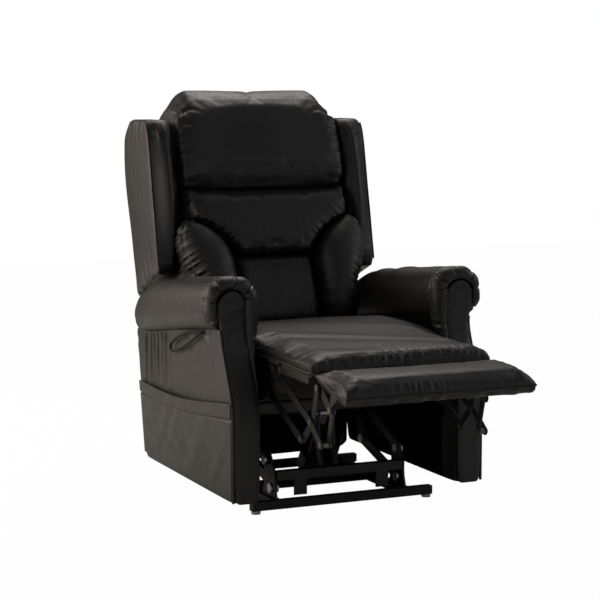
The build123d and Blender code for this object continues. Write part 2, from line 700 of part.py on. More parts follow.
pillow_shape = [
    (cushion_rear, 535),
    (-104, 535),
    (-172, 566),
    (-206, 640),
    (-200, 732),
    (-174, 788),
    (-130, 808),
    (-40, 802),
    (50, 782),
    (98, 740),
    (98, cover_top + SEATED),
    (cushion_rear, cover_top + SEATED),
]
pillow_heart = Vector(-60, 690)
pillow_faces = []
for place, share in ((-262, 0.84), (-238, 0.97), (0, 1.0), (238, 0.97), (262, 0.84)):
    ring = []
    for n, s in pillow_shape:
        ring.append((pillow_heart.X + (n - pillow_heart.X) * share, pillow_heart.Y + (s - pillow_heart.Y) * share))
    pillow_faces.append(Plane.YZ.offset(place) * make_face(Polyline(ring, close=True)))
parts["head_pillow"] = back_place * loft(pillow_faces, ruled=True)

lumbar = stacked(
    (
        (318, -122, 122, -140, cushion_rear, 40),
        (350, -142, 142, -182, cushion_rear, 60),
        (420, -192, 192, -192, cushion_rear, 60),
        (480, -248, 248, -178, cushion_rear, 60),
        (528, -256, 256, -120, cushion_rear, 40),
    )
)
parts["lumbar_cushion"] = back_place * lumbar
lower_back = stacked(
    (
        (92, -120, 120, -128, cushion_rear, 40),
        (130, -126, 126, -160, cushion_rear, 50),
        (260, -126, 126, -160, cushion_rear, 50),
        (310, -122, 122, -134, cushion_rear, 40),
    )
)
parts["lower_back_cushion"] = back_place * lower_back
bolster = stacked(
    (
        (76, 160, 246, -150, cushion_rear, 40),
        (120, 138, 256, -190, cushion_rear, 50),
        (200, 131, 258, -204, cushion_rear, 60),
        (262, 131, 259, -206, cushion_rear, 60),
        (320, 140, 274, -200, cushion_rear, 60),
        (370, 176, 276, -184, cushion_rear, 45),
        (412, 216, 270, -140, cushion_rear, 24),
    )
)
parts["bolster_left"] = back_place * bolster
parts["bolster_right"] = back_place * mirrored(bolster)

# Wings
# Upholstered side wings stand on both edges of the back, clear of the arms as the back tilts.
wing_low = seam_height(470) + 161
wing_outline = make_face(
    Polyline(
        [
            (628, wing_low),
            (700, wing_low - 31),
            (760, wing_low - 57),
            (826, wing_low - 63),
            (955, 944),
            (960, 1000),
            (915, 1056),
            (740, 1056),
            (690, 1034),
            (656, 900),
            (636, 760),
        ],
        close=True,
    )
)
wing = across(fillet(wing_outline.vertices(), 18), WING_INNER, WING_INNER + WING_THICK)
wing = fillet(wing.edges().filter_by(Plane.YZ), 12)
parts["wing_left"] = wing
parts["wing_right"] = mirrored(wing)

# The chair is set down on its origin and written out.
boxes = [piece.bounding_box() for piece in parts.values()]
low = Vector(*[min(tuple(box.min)[axis] for box in boxes) for axis in range(3)])
high = Vector(*[max(tuple(box.max)[axis] for box in boxes) for axis in range(3)])
middle = (low + high) / 2
to_origin = Pos(-middle.X, -middle.Y, -low.Z)
moved = to_origin.position
print("moved by", [round(value, 4) for value in tuple(moved)])
print("size", [round(value, 1) for value in tuple(high - low)])

pivots["lower_pivot"] = lower_pivot
pivots["upper_pivot"] = upper_pivot
pivots["lower_carrier"] = lower_carrier
pivots["upper_carrier"] = upper_carrier
pivots["actuator_foot"] = actuator_foot
pivots["lever_tip"] = lever_tip
pivots["front_link_root"] = front_link_root
pivots["rear_link_root"] = rear_link_root
pivots["knee"] = knee
pivots["rear_knee"] = rear_knee
pivots["toe"] = toe
pivots["foot_rear"] = foot_rear
pivots["foot_front"] = foot_front
pivots["calf_pivot"] = calf_pivot
pivots["back_pivot"] = back_pivot
for name, place in pivots.items():
    print("pivot", name, round(place.X + moved.Y, 4), round(place.Y + moved.Z, 4))

os.makedirs("parts", exist_ok=True)
for name, piece in parts.items():
    export_step(to_origin * piece, f"parts/{name}.step")
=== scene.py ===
import math

import bpy
import numpy as np
from mathutils import Matrix, Vector
from mathutils.kdtree import KDTree


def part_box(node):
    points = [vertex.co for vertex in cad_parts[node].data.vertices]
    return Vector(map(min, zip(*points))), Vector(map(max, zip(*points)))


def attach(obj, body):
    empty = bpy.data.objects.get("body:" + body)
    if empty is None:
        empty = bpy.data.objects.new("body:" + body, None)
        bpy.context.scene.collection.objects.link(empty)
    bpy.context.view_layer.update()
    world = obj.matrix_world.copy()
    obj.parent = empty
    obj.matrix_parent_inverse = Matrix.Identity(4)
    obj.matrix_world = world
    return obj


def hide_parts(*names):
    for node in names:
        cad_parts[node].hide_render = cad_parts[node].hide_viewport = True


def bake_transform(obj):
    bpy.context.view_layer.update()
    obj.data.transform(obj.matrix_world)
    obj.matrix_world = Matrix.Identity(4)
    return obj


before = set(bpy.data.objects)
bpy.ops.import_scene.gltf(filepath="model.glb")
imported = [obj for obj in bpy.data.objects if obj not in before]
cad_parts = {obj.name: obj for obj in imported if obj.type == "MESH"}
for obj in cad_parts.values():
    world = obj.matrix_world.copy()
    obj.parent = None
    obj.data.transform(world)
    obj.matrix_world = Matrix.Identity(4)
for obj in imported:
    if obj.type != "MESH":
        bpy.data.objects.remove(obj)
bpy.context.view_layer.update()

# Room
# A plain pale floor in a white surround. Soft studio lamps stand to the left and rear, overhead
# and in front, and the camera looks slightly down from the sitter's right.
scene = bpy.context.scene
ARM_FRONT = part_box("arm_left_front_panel")[0].y
scene.view_settings.view_transform = "Standard"


def set_inputs(node, **values):
    for socket, value in values.items():
        node.inputs[socket.replace("_", " ")].default_value = value


def add_node(tree, kind, **values):
    node = tree.nodes.new("ShaderNode" + kind)
    set_inputs(node, **values)
    return node


def add_math(tree, operation, factor=None):
    node = add_node(tree, "Math")
    node.operation = operation
    if factor is not None:
        node.inputs[1].default_value = factor
    return node


def add_ramp(tree, dark, light):
    ramp = add_node(tree, "ValToRGB")
    for stop, tone in zip(ramp.color_ramp.elements, (dark, light)):
        stop.color = (*tone, 1)
    return ramp


def wire(tree, *runs):
    for source, output, target, socket in runs:
        tree.links.new(source.outputs[output], target.inputs[socket])


def lay_out(tree, *textures):
    place = add_node(tree, "TexCoord")
    wire(tree, *((place, "Object", texture, "Vector") for texture in textures))


def new_material(name, **values):
    material = bpy.data.materials.new(name)
    material.use_nodes = True
    surface = material.node_tree.nodes["Principled BSDF"]
    set_inputs(surface, **values)
    return material, material.node_tree, surface


bpy.ops.mesh.primitive_plane_add(size=14, location=(0, 0, 0))
floor = bpy.context.object
floor.name = "floor"
floor_paint, tree, floor_matt = new_material(
    "pale_floor", Base_Color=(0.82, 0.82, 0.81, 1), Roughness=0.9
)
floor_white = add_node(tree, "Emission", Strength=1.0)
floor_path = add_node(tree, "LightPath")
floor_share = add_math(tree, "MULTIPLY", 0.985)
floor_mix = add_node(tree, "MixShader")
wire(
    tree,
    (floor_path, "Is Camera Ray", floor_share, 0),
    (floor_share, 0, floor_mix, "Fac"),
    (floor_matt, "BSDF", floor_mix, 1),
    (floor_white, "Emission", floor_mix, 2),
    (floor_mix, "Shader", tree.nodes["Material Output"], "Surface"),
)
floor.data.materials.append(floor_paint)

surround = bpy.data.worlds.new("surround")
scene.world = surround
surround.use_nodes = True
tree = surround.node_tree
dim = tree.nodes["Background"]
set_inputs(dim, Color=(0.80, 0.82, 0.86, 1), Strength=0.08)
white = add_node(tree, "Background", Color=(1, 1, 1, 1), Strength=1.0)
path = add_node(tree, "LightPath")
glints = add_math(tree, "MULTIPLY_ADD", 0.06)
seen = add_math(tree, "MAXIMUM")
mix = add_node(tree, "MixShader")
wire(
    tree,
    (path, "Is Glossy Ray", glints, 0),
    (path, "Is Camera Ray", glints, 2),
    (glints, 0, seen, 0),
    (path, "Is Transmission Ray", seen, 1),
    (seen, 0, mix, "Fac"),
    (dim, "Background", mix, 1),
    (white, "Background", mix, 2),
    (mix, "Shader", tree.nodes["World Output"], "Surface"),
)


def lamp(name, place, aim, size, power, tint):
    light = bpy.data.lights.new(name, "AREA")
    light.shape = "RECTANGLE"
    light.size, light.size_y = size
    light.energy = power
    light.color = tint
    holder = bpy.data.objects.new(name, light)
    scene.collection.objects.link(holder)
    holder.location = place
    holder.rotation_euler = (Vector(aim) - Vector(place)).to_track_quat("-Z", "Y").to_euler()


lamp("window_left", (-2.6, 1.7, 1.5), (0, 0.2, 0.6), (2.6, 2.2), 64, (1.0, 0.87, 0.75))
lamp("rear_high", (0.7, 1.6, 3.1), (0, -0.3, 0.45), (1.8, 1.2), 40, (1.0, 0.94, 0.88))
lamp("front_fill", (0.6, -4.2, 1.5), (0, 0, 0.6), (4.0, 2.4), 11, (0.98, 0.99, 1.0))
lamp("front_left", (-3.2, -1.2, 1.1), (0, 0, 0.6), (0.8, 1.6), 8, (0.98, 0.98, 1.0))
lamp("right_side", (2.6, -0.4, 1.7), (0, 0, 0.7), (0.9, 1.8), 9, (0.97, 0.98, 1.0))

camera_data = bpy.data.cameras.new("photo_camera")
camera_data.sensor_width = 36
camera_data.lens = 109.2
camera = bpy.data.objects.new("photo_camera", camera_data)
scene.collection.objects.link(camera)
camera.location = (-2.123, ARM_FRONT - 4.3571, 1.155)
camera.rotation_euler = (math.radians(90 - 6.7), 0, math.radians(-24))
scene.camera = camera

# Pull loop
# A soft braided cord, knotted inside the arm, hangs out of the seam under the sitter's right arm
# roll and falls back on itself as a flat loop.
cord_x = -0.3820
cord_seam = 0.4951
cord_start = ARM_FRONT + 0.214
cord_points = [
    (cord_x + tuck, cord_start + back, cord_seam - down)
    for tuck, back, down in (
        (0.007, 0.000, 0.0005),
        (0, 0.014, 0.0010),
        (0, 0.056, 0.0040),
        (0, 0.110, 0.0150),
        (0, 0.174, 0.0350),
        (0, 0.222, 0.0540),
        (0, 0.244, 0.0690),
        (0, 0.235, 0.0830),
        (0, 0.200, 0.0800),
        (0, 0.150, 0.0650),
        (0, 0.080, 0.0390),
        (0, 0.030, 0.0150),
        (0.007, 0.008, 0.0030),
    )
]
cord_line = bpy.data.curves.new("pull_loop_cord", "CURVE")
cord_line.dimensions = "3D"
cord_run = cord_line.splines.new("NURBS")
cord_run.points.add(len(cord_points) - 1)
for control, spot in zip(cord_run.points, cord_points):
    control.co = (*spot, 1)
cord_run.order_u = 3
cord_run.use_endpoint_u = True
cord_line.bevel_depth = 0.0035
cord_line.bevel_resolution = 5
cord_line.resolution_u = 16
cord = bpy.data.objects.new("pull_loop_cord", cord_line)
scene.collection.objects.link(cord)
braid, tree, thread = new_material("braided_cord", Roughness=0.7, Specular_IOR_Level=0.25)
plait = add_node(tree, "TexVoronoi", Scale=620)
plait_tone = add_ramp(tree, (0.005, 0.005, 0.0055), (0.020, 0.020, 0.021))
plait_bump = add_node(tree, "Bump", Strength=0.8, Distance=0.0006)
lay_out(tree, plait)
wire(
    tree,
    (plait, "Distance", plait_tone, "Fac"),
    (plait_tone, "Color", thread, "Base Color"),
    (plait, "Distance", plait_bump, "Height"),
    (plait_bump, "Normal", thread, "Normal"),
)
cord_line.materials.append(braid)
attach(cord, "chassis")
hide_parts("pull_loop")

# Arm sides
# Each arm is a timber box, padded thinly and covered with black leather that is gathered towards
# the rear under the roll, with a dull black lining inside. The leather is finely pebbled all over.
grain = bpy.data.node_groups.new("leather_grain", "ShaderNodeTree")


def add_sockets(group, direction, kind, *names):
    for name in names:
        group.interface.new_socket(name, in_out=direction, socket_type="NodeSocket" + kind)


def add_outputs(group):
    add_sockets(group, "OUTPUT", "Color", "Color")
    add_sockets(group, "OUTPUT", "Float", "Roughness")
    add_sockets(group, "OUTPUT", "Vector", "Normal")


add_sockets(grain, "INPUT", "Color", "Deep Tone", "Worn Tone")
add_sockets(grain, "INPUT", "Float", "Least Roughness", "Most Roughness", "Relief")
add_outputs(grain)
given = grain.nodes.new("NodeGroupInput")
made = grain.nodes.new("NodeGroupOutput")
pebble = add_node(grain, "TexVoronoi")
pebble.feature = "DISTANCE_TO_EDGE"
set_inputs(pebble, Scale=560)
crease = add_node(grain, "TexNoise", Scale=46, Detail=7, Roughness=0.62)
cloud = add_node(grain, "TexNoise", Scale=9, Detail=3)
pebble_height = add_math(grain, "MINIMUM", 0.25)
relief = add_math(grain, "MULTIPLY_ADD", 1.6)
bump = add_node(grain, "Bump", Distance=0.0009)
tone = add_node(grain, "Mix")
tone.data_type = "RGBA"
gloss = add_node(grain, "MapRange", From_Min=0.3, From_Max=0.7)
lay_out(grain, pebble, crease, cloud)
wire(
    grain,
    (pebble, "Distance", pebble_height, 0),
    (pebble_height, 0, relief, 0),
    (crease, "Fac", relief, 2),
    (relief, 0, bump, "Height"),
    (given, "Relief", bump, "Strength"),
    (cloud, "Fac", tone, "Factor"),
    (given, "Deep Tone", tone, "A"),
    (given, "Worn Tone", tone, "B"),
    (crease, "Fac", gloss, "Value"),
    (given, "Least Roughness", gloss, "To Min"),
    (given, "Most Roughness", gloss, "To Max"),
    (tone, "Result", made, "Color"),
    (gloss, "Result", made, "Roughness"),
    (bump, "Normal", made, "Normal"),
)


def group_material(name, group, settings, **values):
    material, tree, surface = new_material(name, **values)
    effect = add_node(tree, "Group")
    effect.node_tree = group
    set_inputs(effect, **settings)
    wire(
        tree,
        (effect, "Color", surface, "Base Color"),
        (effect, "Roughness", surface, "Roughness"),
        (effect, "Normal", surface, "Normal"),
    )
    return material


black_leather = group_material(
    "black_leather",
    grain,
    dict(
        Deep_Tone=(0.0075, 0.0072, 0.0072, 1),
        Worn_Tone=(0.0125, 0.0118, 0.0115, 1),
        Least_Roughness=0.36,
        Most_Roughness=0.50,
        Relief=0.35,
    ),
)
lining = group_material(
    "black_lining",
    grain,
    dict(
        Deep_Tone=(0.0012, 0.0010, 0.0010, 1),
        Worn_Tone=(0.0022, 0.0018, 0.0018, 1),
        Least_Roughness=0.85,
        Most_Roughness=0.95,
        Relief=0.6,
    ),
    Specular_IOR_Level=0.08,
)


def pick(piece, *others):
    bpy.ops.object.select_all(action="DESELECT")
    for one in (*others, piece):
        one.select_set(True)
    bpy.context.view_layer.objects.active = piece


def soft_block(name, cuts):
    bpy.ops.mesh.primitive_cube_add(size=2, location=(0, 0, 0))
    piece = bpy.context.object
    piece.name = name
    piece.data.name = name
    bpy.ops.object.mode_set(mode="EDIT")
    bpy.ops.mesh.select_all(action="SELECT")
    bpy.ops.mesh.subdivide(number_cuts=cuts)
    bpy.ops.object.mode_set(mode="OBJECT")
    return piece


def soft_sheet(name, across, along):
    bpy.ops.mesh.primitive_grid_add(
        x_subdivisions=across, y_subdivisions=along, size=2, location=(0, 0, 0)
    )
    piece = bpy.context.object
    piece.name = name
    piece.data.name = name
    return piece


def points_of(piece):
    flat = np.empty(len(piece.data.vertices) * 3)
    piece.data.vertices.foreach_get("co", flat)
    return flat.reshape(-1, 3)


def put_points(piece, points):
    piece.data.vertices.foreach_set("co", np.ascontiguousarray(points, float).ravel())
    piece.data.update()


def normals_of(piece):
    flat = np.empty(len(piece.data.vertices) * 3)
    piece.data.vertex_normals.foreach_get("vector", flat)
    return flat.reshape(-1, 3)


def eased(points, power):
    return points / (np.abs(points) ** power).sum(axis=1, keepdims=True) ** (1 / power)


def step(low, high, value):
    t = np.clip((value - low) / (high - low), 0, 1)
    return t * t * (3 - 2 * t)


def curve(at, spots, values):
    at, spots, values = (np.asarray(one, float) for one in (at, spots, values))
    span = np.diff(spots)
    slope = np.diff(values) / span
    lead = np.concatenate([[slope[0]], (slope[1:] + slope[:-1]) / 2, [slope[-1]]])
    after, before = np.append(slope, slope[-1]), np.insert(slope, 0, slope[0])
    steep = 3 * np.minimum(np.abs(after), np.abs(before))
    turning = np.concatenate([[False], slope[1:] * slope[:-1] <= 0, [False]])
    lead = np.where(turning, 0, np.clip(lead, -steep, steep))
    k = np.clip(np.searchsorted(spots, at, side="right") - 1, 0, len(slope) - 1)
    u = np.clip((at - spots[k]) / span[k], 0, 1)
    rise = values[k] + (values[k + 1] - values[k]) * u * u * (3 - 2 * u)
    return rise + span[k] * u * (1 - u) * (lead[k] * (1 - u) - lead[k + 1] * u)


def ridges(along, pitch, shift):
    turn = along / pitch
    uneven = 0.22 * np.sin(1.7 * turn + shift) + 0.13 * np.sin(4.3 * turn + shift)
    return np.sin(2 * np.pi * (turn + uneven) + shift)


def bump_at(away, width):
    return np.exp(-((away / width) ** 2))


def push(points, normals, height):
    points += normals * height[:, None]


def fold_seam(piece, close_ends=False):
    pick(piece)
    bpy.ops.object.mode_set(mode="EDIT")
    bpy.ops.mesh.select_all(action="SELECT")
    bpy.ops.mesh.remove_doubles(threshold=0.0002)
    if close_ends:
        bpy.ops.mesh.select_all(action="DESELECT")
        bpy.ops.mesh.select_non_manifold(extend=False, use_boundary=True)
        bpy.ops.mesh.edge_face_add()
        bpy.ops.mesh.select_all(action="SELECT")
    bpy.ops.mesh.normals_make_consistent(inside=False)
    bpy.ops.object.mode_set(mode="OBJECT")


def smooth(piece):
    pick(piece)
    bpy.ops.object.shade_smooth()


def piping(name, route, thickness):
    line = bpy.data.curves.new(name, "CURVE")
    line.dimensions = "3D"
    run = line.splines.new("NURBS")
    run.points.add(len(route) - 1)
    for control, spot in zip(run.points, route):
        control.co = (*spot, 1)
    run.order_u = 3
    run.use_endpoint_u = True
    line.bevel_depth = thickness / 2
    line.bevel_resolution = 3
    line.resolution_u = 4
    line.use_fill_caps = True
    welt = bpy.data.objects.new(name, line)
    scene.collection.objects.link(welt)
    pick(welt)
    bpy.ops.object.convert(target="MESH")
    bpy.ops.object.shade_smooth()
    return bpy.context.object


def sew_on(piece, *extras):
    pick(piece, *extras)
    bpy.ops.object.join()


def other_side(piece, name):
    twin = piece.copy()
    twin.data = piece.data.copy()
    twin.name = name
    twin.data.name = name
    scene.collection.objects.link(twin)
    put_points(twin, points_of(twin) * (-1, 1, 1))
    pick(twin)
    bpy.ops.object.mode_set(mode="EDIT")
    bpy.ops.mesh.select_all(action="SELECT")
    bpy.ops.mesh.flip_normals()
    bpy.ops.object.mode_set(mode="OBJECT")
    return twin


def cover(piece):
    piece.data.materials.clear()
    piece.data.materials.append(black_leather)


def dress(piece, body, node):
    cover(piece)
    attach(piece, body)
    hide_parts(node)


def dress_both(piece, twin_name, body, node):
    twin = other_side(piece, twin_name)
    dress(piece, body, node.format("left"))
    dress(twin, body, node.format("right"))
    return piece, twin


def face_with(piece, finish, chosen):
    piece.data.materials.append(finish)
    for face in piece.data.polygons:
        if chosen(face):
            face.material_index = 1


HEM = 0.058
ARM_IN = 0.296
ARM_OUT = 0.371


def front_line(z):
    return ARM_FRONT + 0.08 * step(0.285, 0.515, np.asarray(z, float))


def seam_line(y):
    return 0.510 - 0.085 * (np.asarray(y, float) - ARM_FRONT - 0.094) / 0.686


side = soft_block("arm_left_side_cover", 108)
ux, uy, uz = np.clip(1.05 * eased(points_of(side), 14), -1, 1).T
share_back = np.interp((uy + 1) / 2, (0, 0.38, 1), (0, 0.60, 1))
share_up = (uz + 1) / 2
y_guess = ARM_FRONT + 0.02 + 0.75 * share_back
z = HEM + 0.002 + share_up * (seam_line(np.maximum(y_guess, ARM_FRONT + 0.06)) - HEM - 0.003)
z += 0.012 * share_up**6 * step(ARM_FRONT + 0.66, ARM_FRONT + 0.71, y_guess)
panel_back = 0.0148
y_from = front_line(z) + panel_back
y_to = ARM_FRONT + 0.708 + 0.07 * (z - 0.067) / 0.358
y = y_from + (y_to - y_from) * share_back
inside_out = 0.5 + 0.5 * ux
x = ARM_IN + 0.001 + (ARM_OUT - ARM_IN - 0.002) * inside_out
outer = step(0.6, 1.0, inside_out)
below_seam = seam_line(y) - z
x += outer * 0.003 * np.sin(np.pi * share_back) * np.sin(np.pi * share_up)
fold_spots = ARM_FRONT + np.array((0.497, 0.529, 0.560, 0.597, 0.629, 0.657, 0.700))
fold_depths = (0.006, 0.011, 0.009, 0.013, 0.010, 0.014, 0.016)
fold_fade = bump_at(below_seam, 0.16) * step(0.0, 0.03, below_seam + 0.012)
for spot, depth in zip(fold_spots, fold_depths):
    x -= outer * depth * fold_fade * bump_at(y - spot + 0.05 * below_seam, 0.0065)
pull = np.hypot(y - cord_start - 0.02, (z - cord_seam) * 1.2)
rays = np.sin(np.arctan2(z - cord_seam, y - cord_start - 0.02) * 7)
x += outer * 0.002 * rays * bump_at(pull - 0.03, 0.05)
x += outer * 0.0016 * ridges(y + 0.5 * z, 0.05, 1.1) * np.exp(-below_seam / 0.05)
put_points(side, np.column_stack([x, y, z]))
smooth(side)
for one in dress_both(side, "arm_right_side_cover", "chassis", "arm_{}_side"):
    face_with(
        one,
        lining,
        lambda face: abs(face.center.x) < ARM_IN + 0.006 and face.center.y > ARM_FRONT + 0.09,
    )

# Arm rolls
# The soft roll on top of each arm is fibre under leather. Its front end is gathered into a band of
# pleated segments around the scroll panel, and it slopes down and thins towards the rear.
roll = soft_sheet("arm_left_roll_cover", 200, 150)
ux, uy, _ = points_of(roll).T
angle = -np.pi / 2 + np.pi * (ux + 1)
run = (uy + 1) / 2
band_share = 0.24
band_back = 0.108
roll_x = 0.339
turn = np.clip(run / band_share, 0, 1) * np.radians(200) - np.radians(20)
back = np.clip((run - band_share) / (1 - band_share), 0, 1)
stations = (0.118, 0.150, 0.414, 0.552, 0.606, 0.650, 0.692, 0.716, 0.730)
shares = (0, 0.03, 0.12, 0.42, 0.60, 0.70, 0.79, 0.90, 0.97, 1)
highs = (0.1464, 0.147, 0.1526, 0.1510, 0.1450, 0.1365, 0.1190, 0.0900, 0.034)
drawn_in = (0, 0, 0.004, 0.014, 0.017, 0.019, 0.022, 0.028, 0.044)
drawn_out = (0, 0, 0.002, 0.004, 0.006, 0.008, 0.012, 0.018, 0.034)
y_roll = curve(back, shares, (band_back, *stations)) + ARM_FRONT
high, draw_in, draw_out = (
    curve(y_roll - ARM_FRONT, stations, values) for values in (highs, drawn_in, drawn_out)
)
cosine, sine = np.cos(angle), np.sin(angle)


def squared(value, power):
    return np.sign(value) * np.abs(value) ** (2 / power)


half_wide = 0.0755 - (draw_in + draw_out) / 2
out_x = roll_x + (draw_in - draw_out) / 2 + half_wide * squared(cosine, 2.3)
out_z = seam_line(y_roll) + high / 2 + (high / 2) * squared(sine, 2.4)
SCROLL_X = 0.344
SCROLL_Z = 0.5745
in_x = SCROLL_X + 0.0385 * squared(cosine, 2.3)
in_z = SCROLL_Z + 0.0405 * squared(sine, 2.2)
swell = ((1 - np.cos(np.clip(turn, 0, np.pi))) / 2) ** 1.4
x = in_x + (out_x - in_x) * swell
z = in_z + (out_z - in_z) * swell
neck = bump_at((angle + np.pi / 2 + np.pi) % (2 * np.pi) - np.pi, 0.62)
forward = 0.030 * (1 - 0.9 * neck)
y_band = ARM_FRONT + band_back - forward * np.sin(turn) + 0.016 * neck
y = np.where(run < band_share, y_band, y_roll)
spots = np.radians((-38, 8, 50, 96, 142, 194))
nearest = np.abs(((angle[:, None] - spots[None, :]) + np.pi) % (2 * np.pi) - np.pi)
gap = nearest.min(axis=1)
on_band = step(0.02, 0.08, run) * (1 - step(band_share * 0.92, band_share * 1.10, run))
pleat = bump_at(gap, 0.045) * on_band * (1 - neck)
puff = (1 - bump_at(gap, 0.26)) * on_band * (1 - neck)
heart = np.array((0.342, ARM_FRONT + 0.118, 0.574))
points = np.column_stack([x, y, z])
px, py, pz = points.T
outward = points - heart
outward[:, 1] *= 1.5
outward /= np.linalg.norm(outward, axis=1, keepdims=True)
seam_ring = bump_at(run - band_share * 1.03, 0.012) * (1 - neck)
push(points, outward, 0.0030 * puff - 0.0056 * pleat - 0.0035 * seam_ring)
behind = run - band_share
radiate = ridges(angle, 0.21, 0.9) * np.exp(-np.maximum(behind, 0) / 0.05) * step(0.0, 0.02, behind)
push(points, outward, 0.0012 * radiate)
tail = step(0.72, 0.98, run)
px += 0.0016 * tail * ridges(py + 0.6 * pz, 0.034, 0.2) * (cosine > -0.3)
pz += 0.0022 * step(0.3, 0.6, run) * (1 - tail) * ridges(py, 0.13, 2.0) * np.maximum(sine, 0)
pz[:] = np.maximum(pz, np.where(run < band_share, 0.4985, seam_line(py) + 0.0006))
put_points(roll, points)
fold_seam(roll, close_ends=True)
smooth(roll)
dress_both(roll, "arm_right_roll_cover", "chassis", "arm_{}_roll")

# Arm front panels
# A thin padded board, covered with leather and swept back below the scroll, closes the front of
# each arm. A narrow padded border runs down its inner edge and a welt follows its outer edge.
panel = soft_block("arm_left_front_cover", 60)
ux, uy, uz = eased(points_of(panel), 9).T
z = HEM + (uz + 1) / 2 * (0.6180 - HEM)
head = np.sqrt(np.clip(1 - (np.clip(z - SCROLL_Z, 0, 0.0435) / 0.0437) ** 2, 0.0, 1))
x_in = curve(z, (0.058, 0.39, 0.502, 0.560, 0.62), (0.2975, 0.2975, 0.3030, 0.3015, 0.3015))
out_levels = (0.058, 0.39, 0.500, 0.525, 0.555, 0.62)
x_out = curve(z, out_levels, (0.3690, 0.3690, 0.3700, 0.3760, 0.3840, 0.3845))
x_in = np.where(z > SCROLL_Z, SCROLL_X - 0.0425 * head, x_in)
x_out = np.where(z > SCROLL_Z, SCROLL_X + 0.0405 * head, x_out)
x = (x_in + x_out) / 2 + (x_out - x_in) / 2 * ux
face = step(0.2, 1.0, -uy)
y = front_line(z) + 0.0075 + 0.0070 * uy
edge = 1 - np.abs(ux)
y -= face * 0.0030 * step(0.0, 0.45, edge)
fold = (z - 0.448) - 0.35 * (x - 0.335)
y += face * 0.0022 * bump_at(fold, 0.006) * step(-0.3, 0.6, -ux)
y -= face * 0.0016 * bump_at(fold - 0.012, 0.010)
y += face * 0.0009 * ridges(z + 0.4 * x, 0.045, 0.3) * step(0.30, 0.42, z)
put_points(panel, np.column_stack([x, y, z]))
smooth(panel)
welt_z = np.concatenate([np.linspace(HEM + 0.004, 0.48, 16), np.linspace(0.495, 0.515, 3)])
welt_x = curve(welt_z, (0.058, 0.39, 0.500, 0.525), (0.3722, 0.3722, 0.3730, 0.3760))
welt_route = np.column_stack([welt_x, front_line(welt_z) + 0.0070, welt_z]).tolist()
outer_welt = piping("front_welt", welt_route, 0.0082)
border = soft_sheet("front_border", 26, 90)
ux, uy, _ = points_of(border).T
lean = (ux + 1) / 2 * np.radians(205) - np.radians(15)
z = 0.350 + (uy + 1) / 2 * (0.594 - 0.350)
b_in = curve(z, (0.35, 0.39, 0.502, 0.60), (0.2985, 0.2990, 0.3050, 0.3070))
b_levels = (0.35, 0.39, 0.45, 0.52, 0.57, 0.60)
b_out = curve(z, b_levels, (0.2962, 0.2915, 0.2830, 0.2690, 0.2635, 0.2640))
half = (b_in - b_out) / 2
x = (b_in + b_out) / 2 + half * np.cos(lean)
y = front_line(z) + 0.012 - (0.010 + 0.55 * half) * np.sin(lean)
y += np.where(lean > np.pi, 0.02, 0.0)
crimp = ridges(z, 0.028, 0.6) * bump_at(z - 0.475, 0.035)
x -= 0.0016 * crimp * np.sin(lean / 2)
y -= 0.0012 * crimp
put_points(border, np.column_stack([x, y, z]))


def thicken(piece, thickness):
    hide = piece.modifiers.new("hide", "SOLIDIFY")
    hide.thickness = thickness
    hide.offset = 0
    smooth(piece)
    bpy.ops.object.modifier_apply(modifier=hide.name)


thicken(border, 0.002)
sew_on(panel, outer_welt, border)
dress_both(panel, "arm_right_front_cover", "chassis", "arm_{}_front_panel")

# Side pocket
# A flat pocket is sewn to the outside of the sitter's right arm on three edges. Its top edge is
# folded to a broad hem, stitched once, and sags open towards the rear.
pocket = soft_sheet("side_pocket_cover", 150, 110)
ux, uy, _ = points_of(pocket).T
share_back = (ux + 1) / 2
share_up = (uy + 1) / 2
y_start = ARM_FRONT + 0.0108
z_top = 0.3265 - 0.042 * share_back - 0.016 * np.sin(np.pi * share_back) ** 1.5
z_low = 0.0675 + 0.008 * share_back
z = z_low + (z_top - z_low) * share_up
y_end = ARM_FRONT + 0.704 + 0.040 * (z - 0.075) / 0.21
y = y_start + (y_end - y_start) * share_back
held_edge = np.clip(np.sin(np.pi * share_back), 0, 1) ** 0.6
open_out = held_edge * step(0.05, 1.0, share_up)
pocket_x = 0.3752
pocket_sag = 0.0105
x = pocket_x + pocket_sag * open_out
loose = step(0.0, 0.3, share_up) * (1 - 0.5 * share_up)
x += 0.0016 * held_edge * ridges(y + 0.9 * z, 0.145, 0.8) * loose
x += 0.0014 * bump_at(share_up - 0.36, 0.10) * ridges(y - 1.4 * z, 0.19, 2.2) * held_edge
hem_line = 0.835
x += 0.0016 * step(hem_line - 0.012, hem_line + 0.008, share_up)
x -= 0.0036 * bump_at(share_up - hem_line, 0.013)
put_points(pocket, np.column_stack([-x, y, z]))
thicken(pocket, 0.0022)
fold_seam(pocket)
cover(pocket)
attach(pocket, "chassis")
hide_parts("side_pocket")

# Seat
# A boxed foam cushion with leather corners and a plain woven deck cloth across its front carries a
# broad loose pad of fibre. The pad runs on, unbroken, over the hinged calf board.
deck_cloth, tree, cloth_face = new_material("woven_deck_cloth", Roughness=0.9)
warp = add_node(tree, "TexWave", Scale=260)
weft = add_node(tree, "TexWave", Scale=260)
weft.bands_direction = "Z"
weave = add_math(tree, "MULTIPLY")
weave_tone = add_ramp(tree, (0.020, 0.018, 0.013), (0.062, 0.055, 0.040))
weave_bump = add_node(tree, "Bump", Strength=0.5, Distance=0.0006)
lay_out(tree, warp, weft)
wire(
    tree,
    (warp, "Fac", weave, 0),
    (weft, "Fac", weave, 1),
    (weave, 0, weave_tone, "Fac"),
    (weave_tone, "Color", cloth_face, "Base Color"),
    (weave, 0, weave_bump, "Height"),
    (weave_bump, "Normal", cloth_face, "Normal"),
)

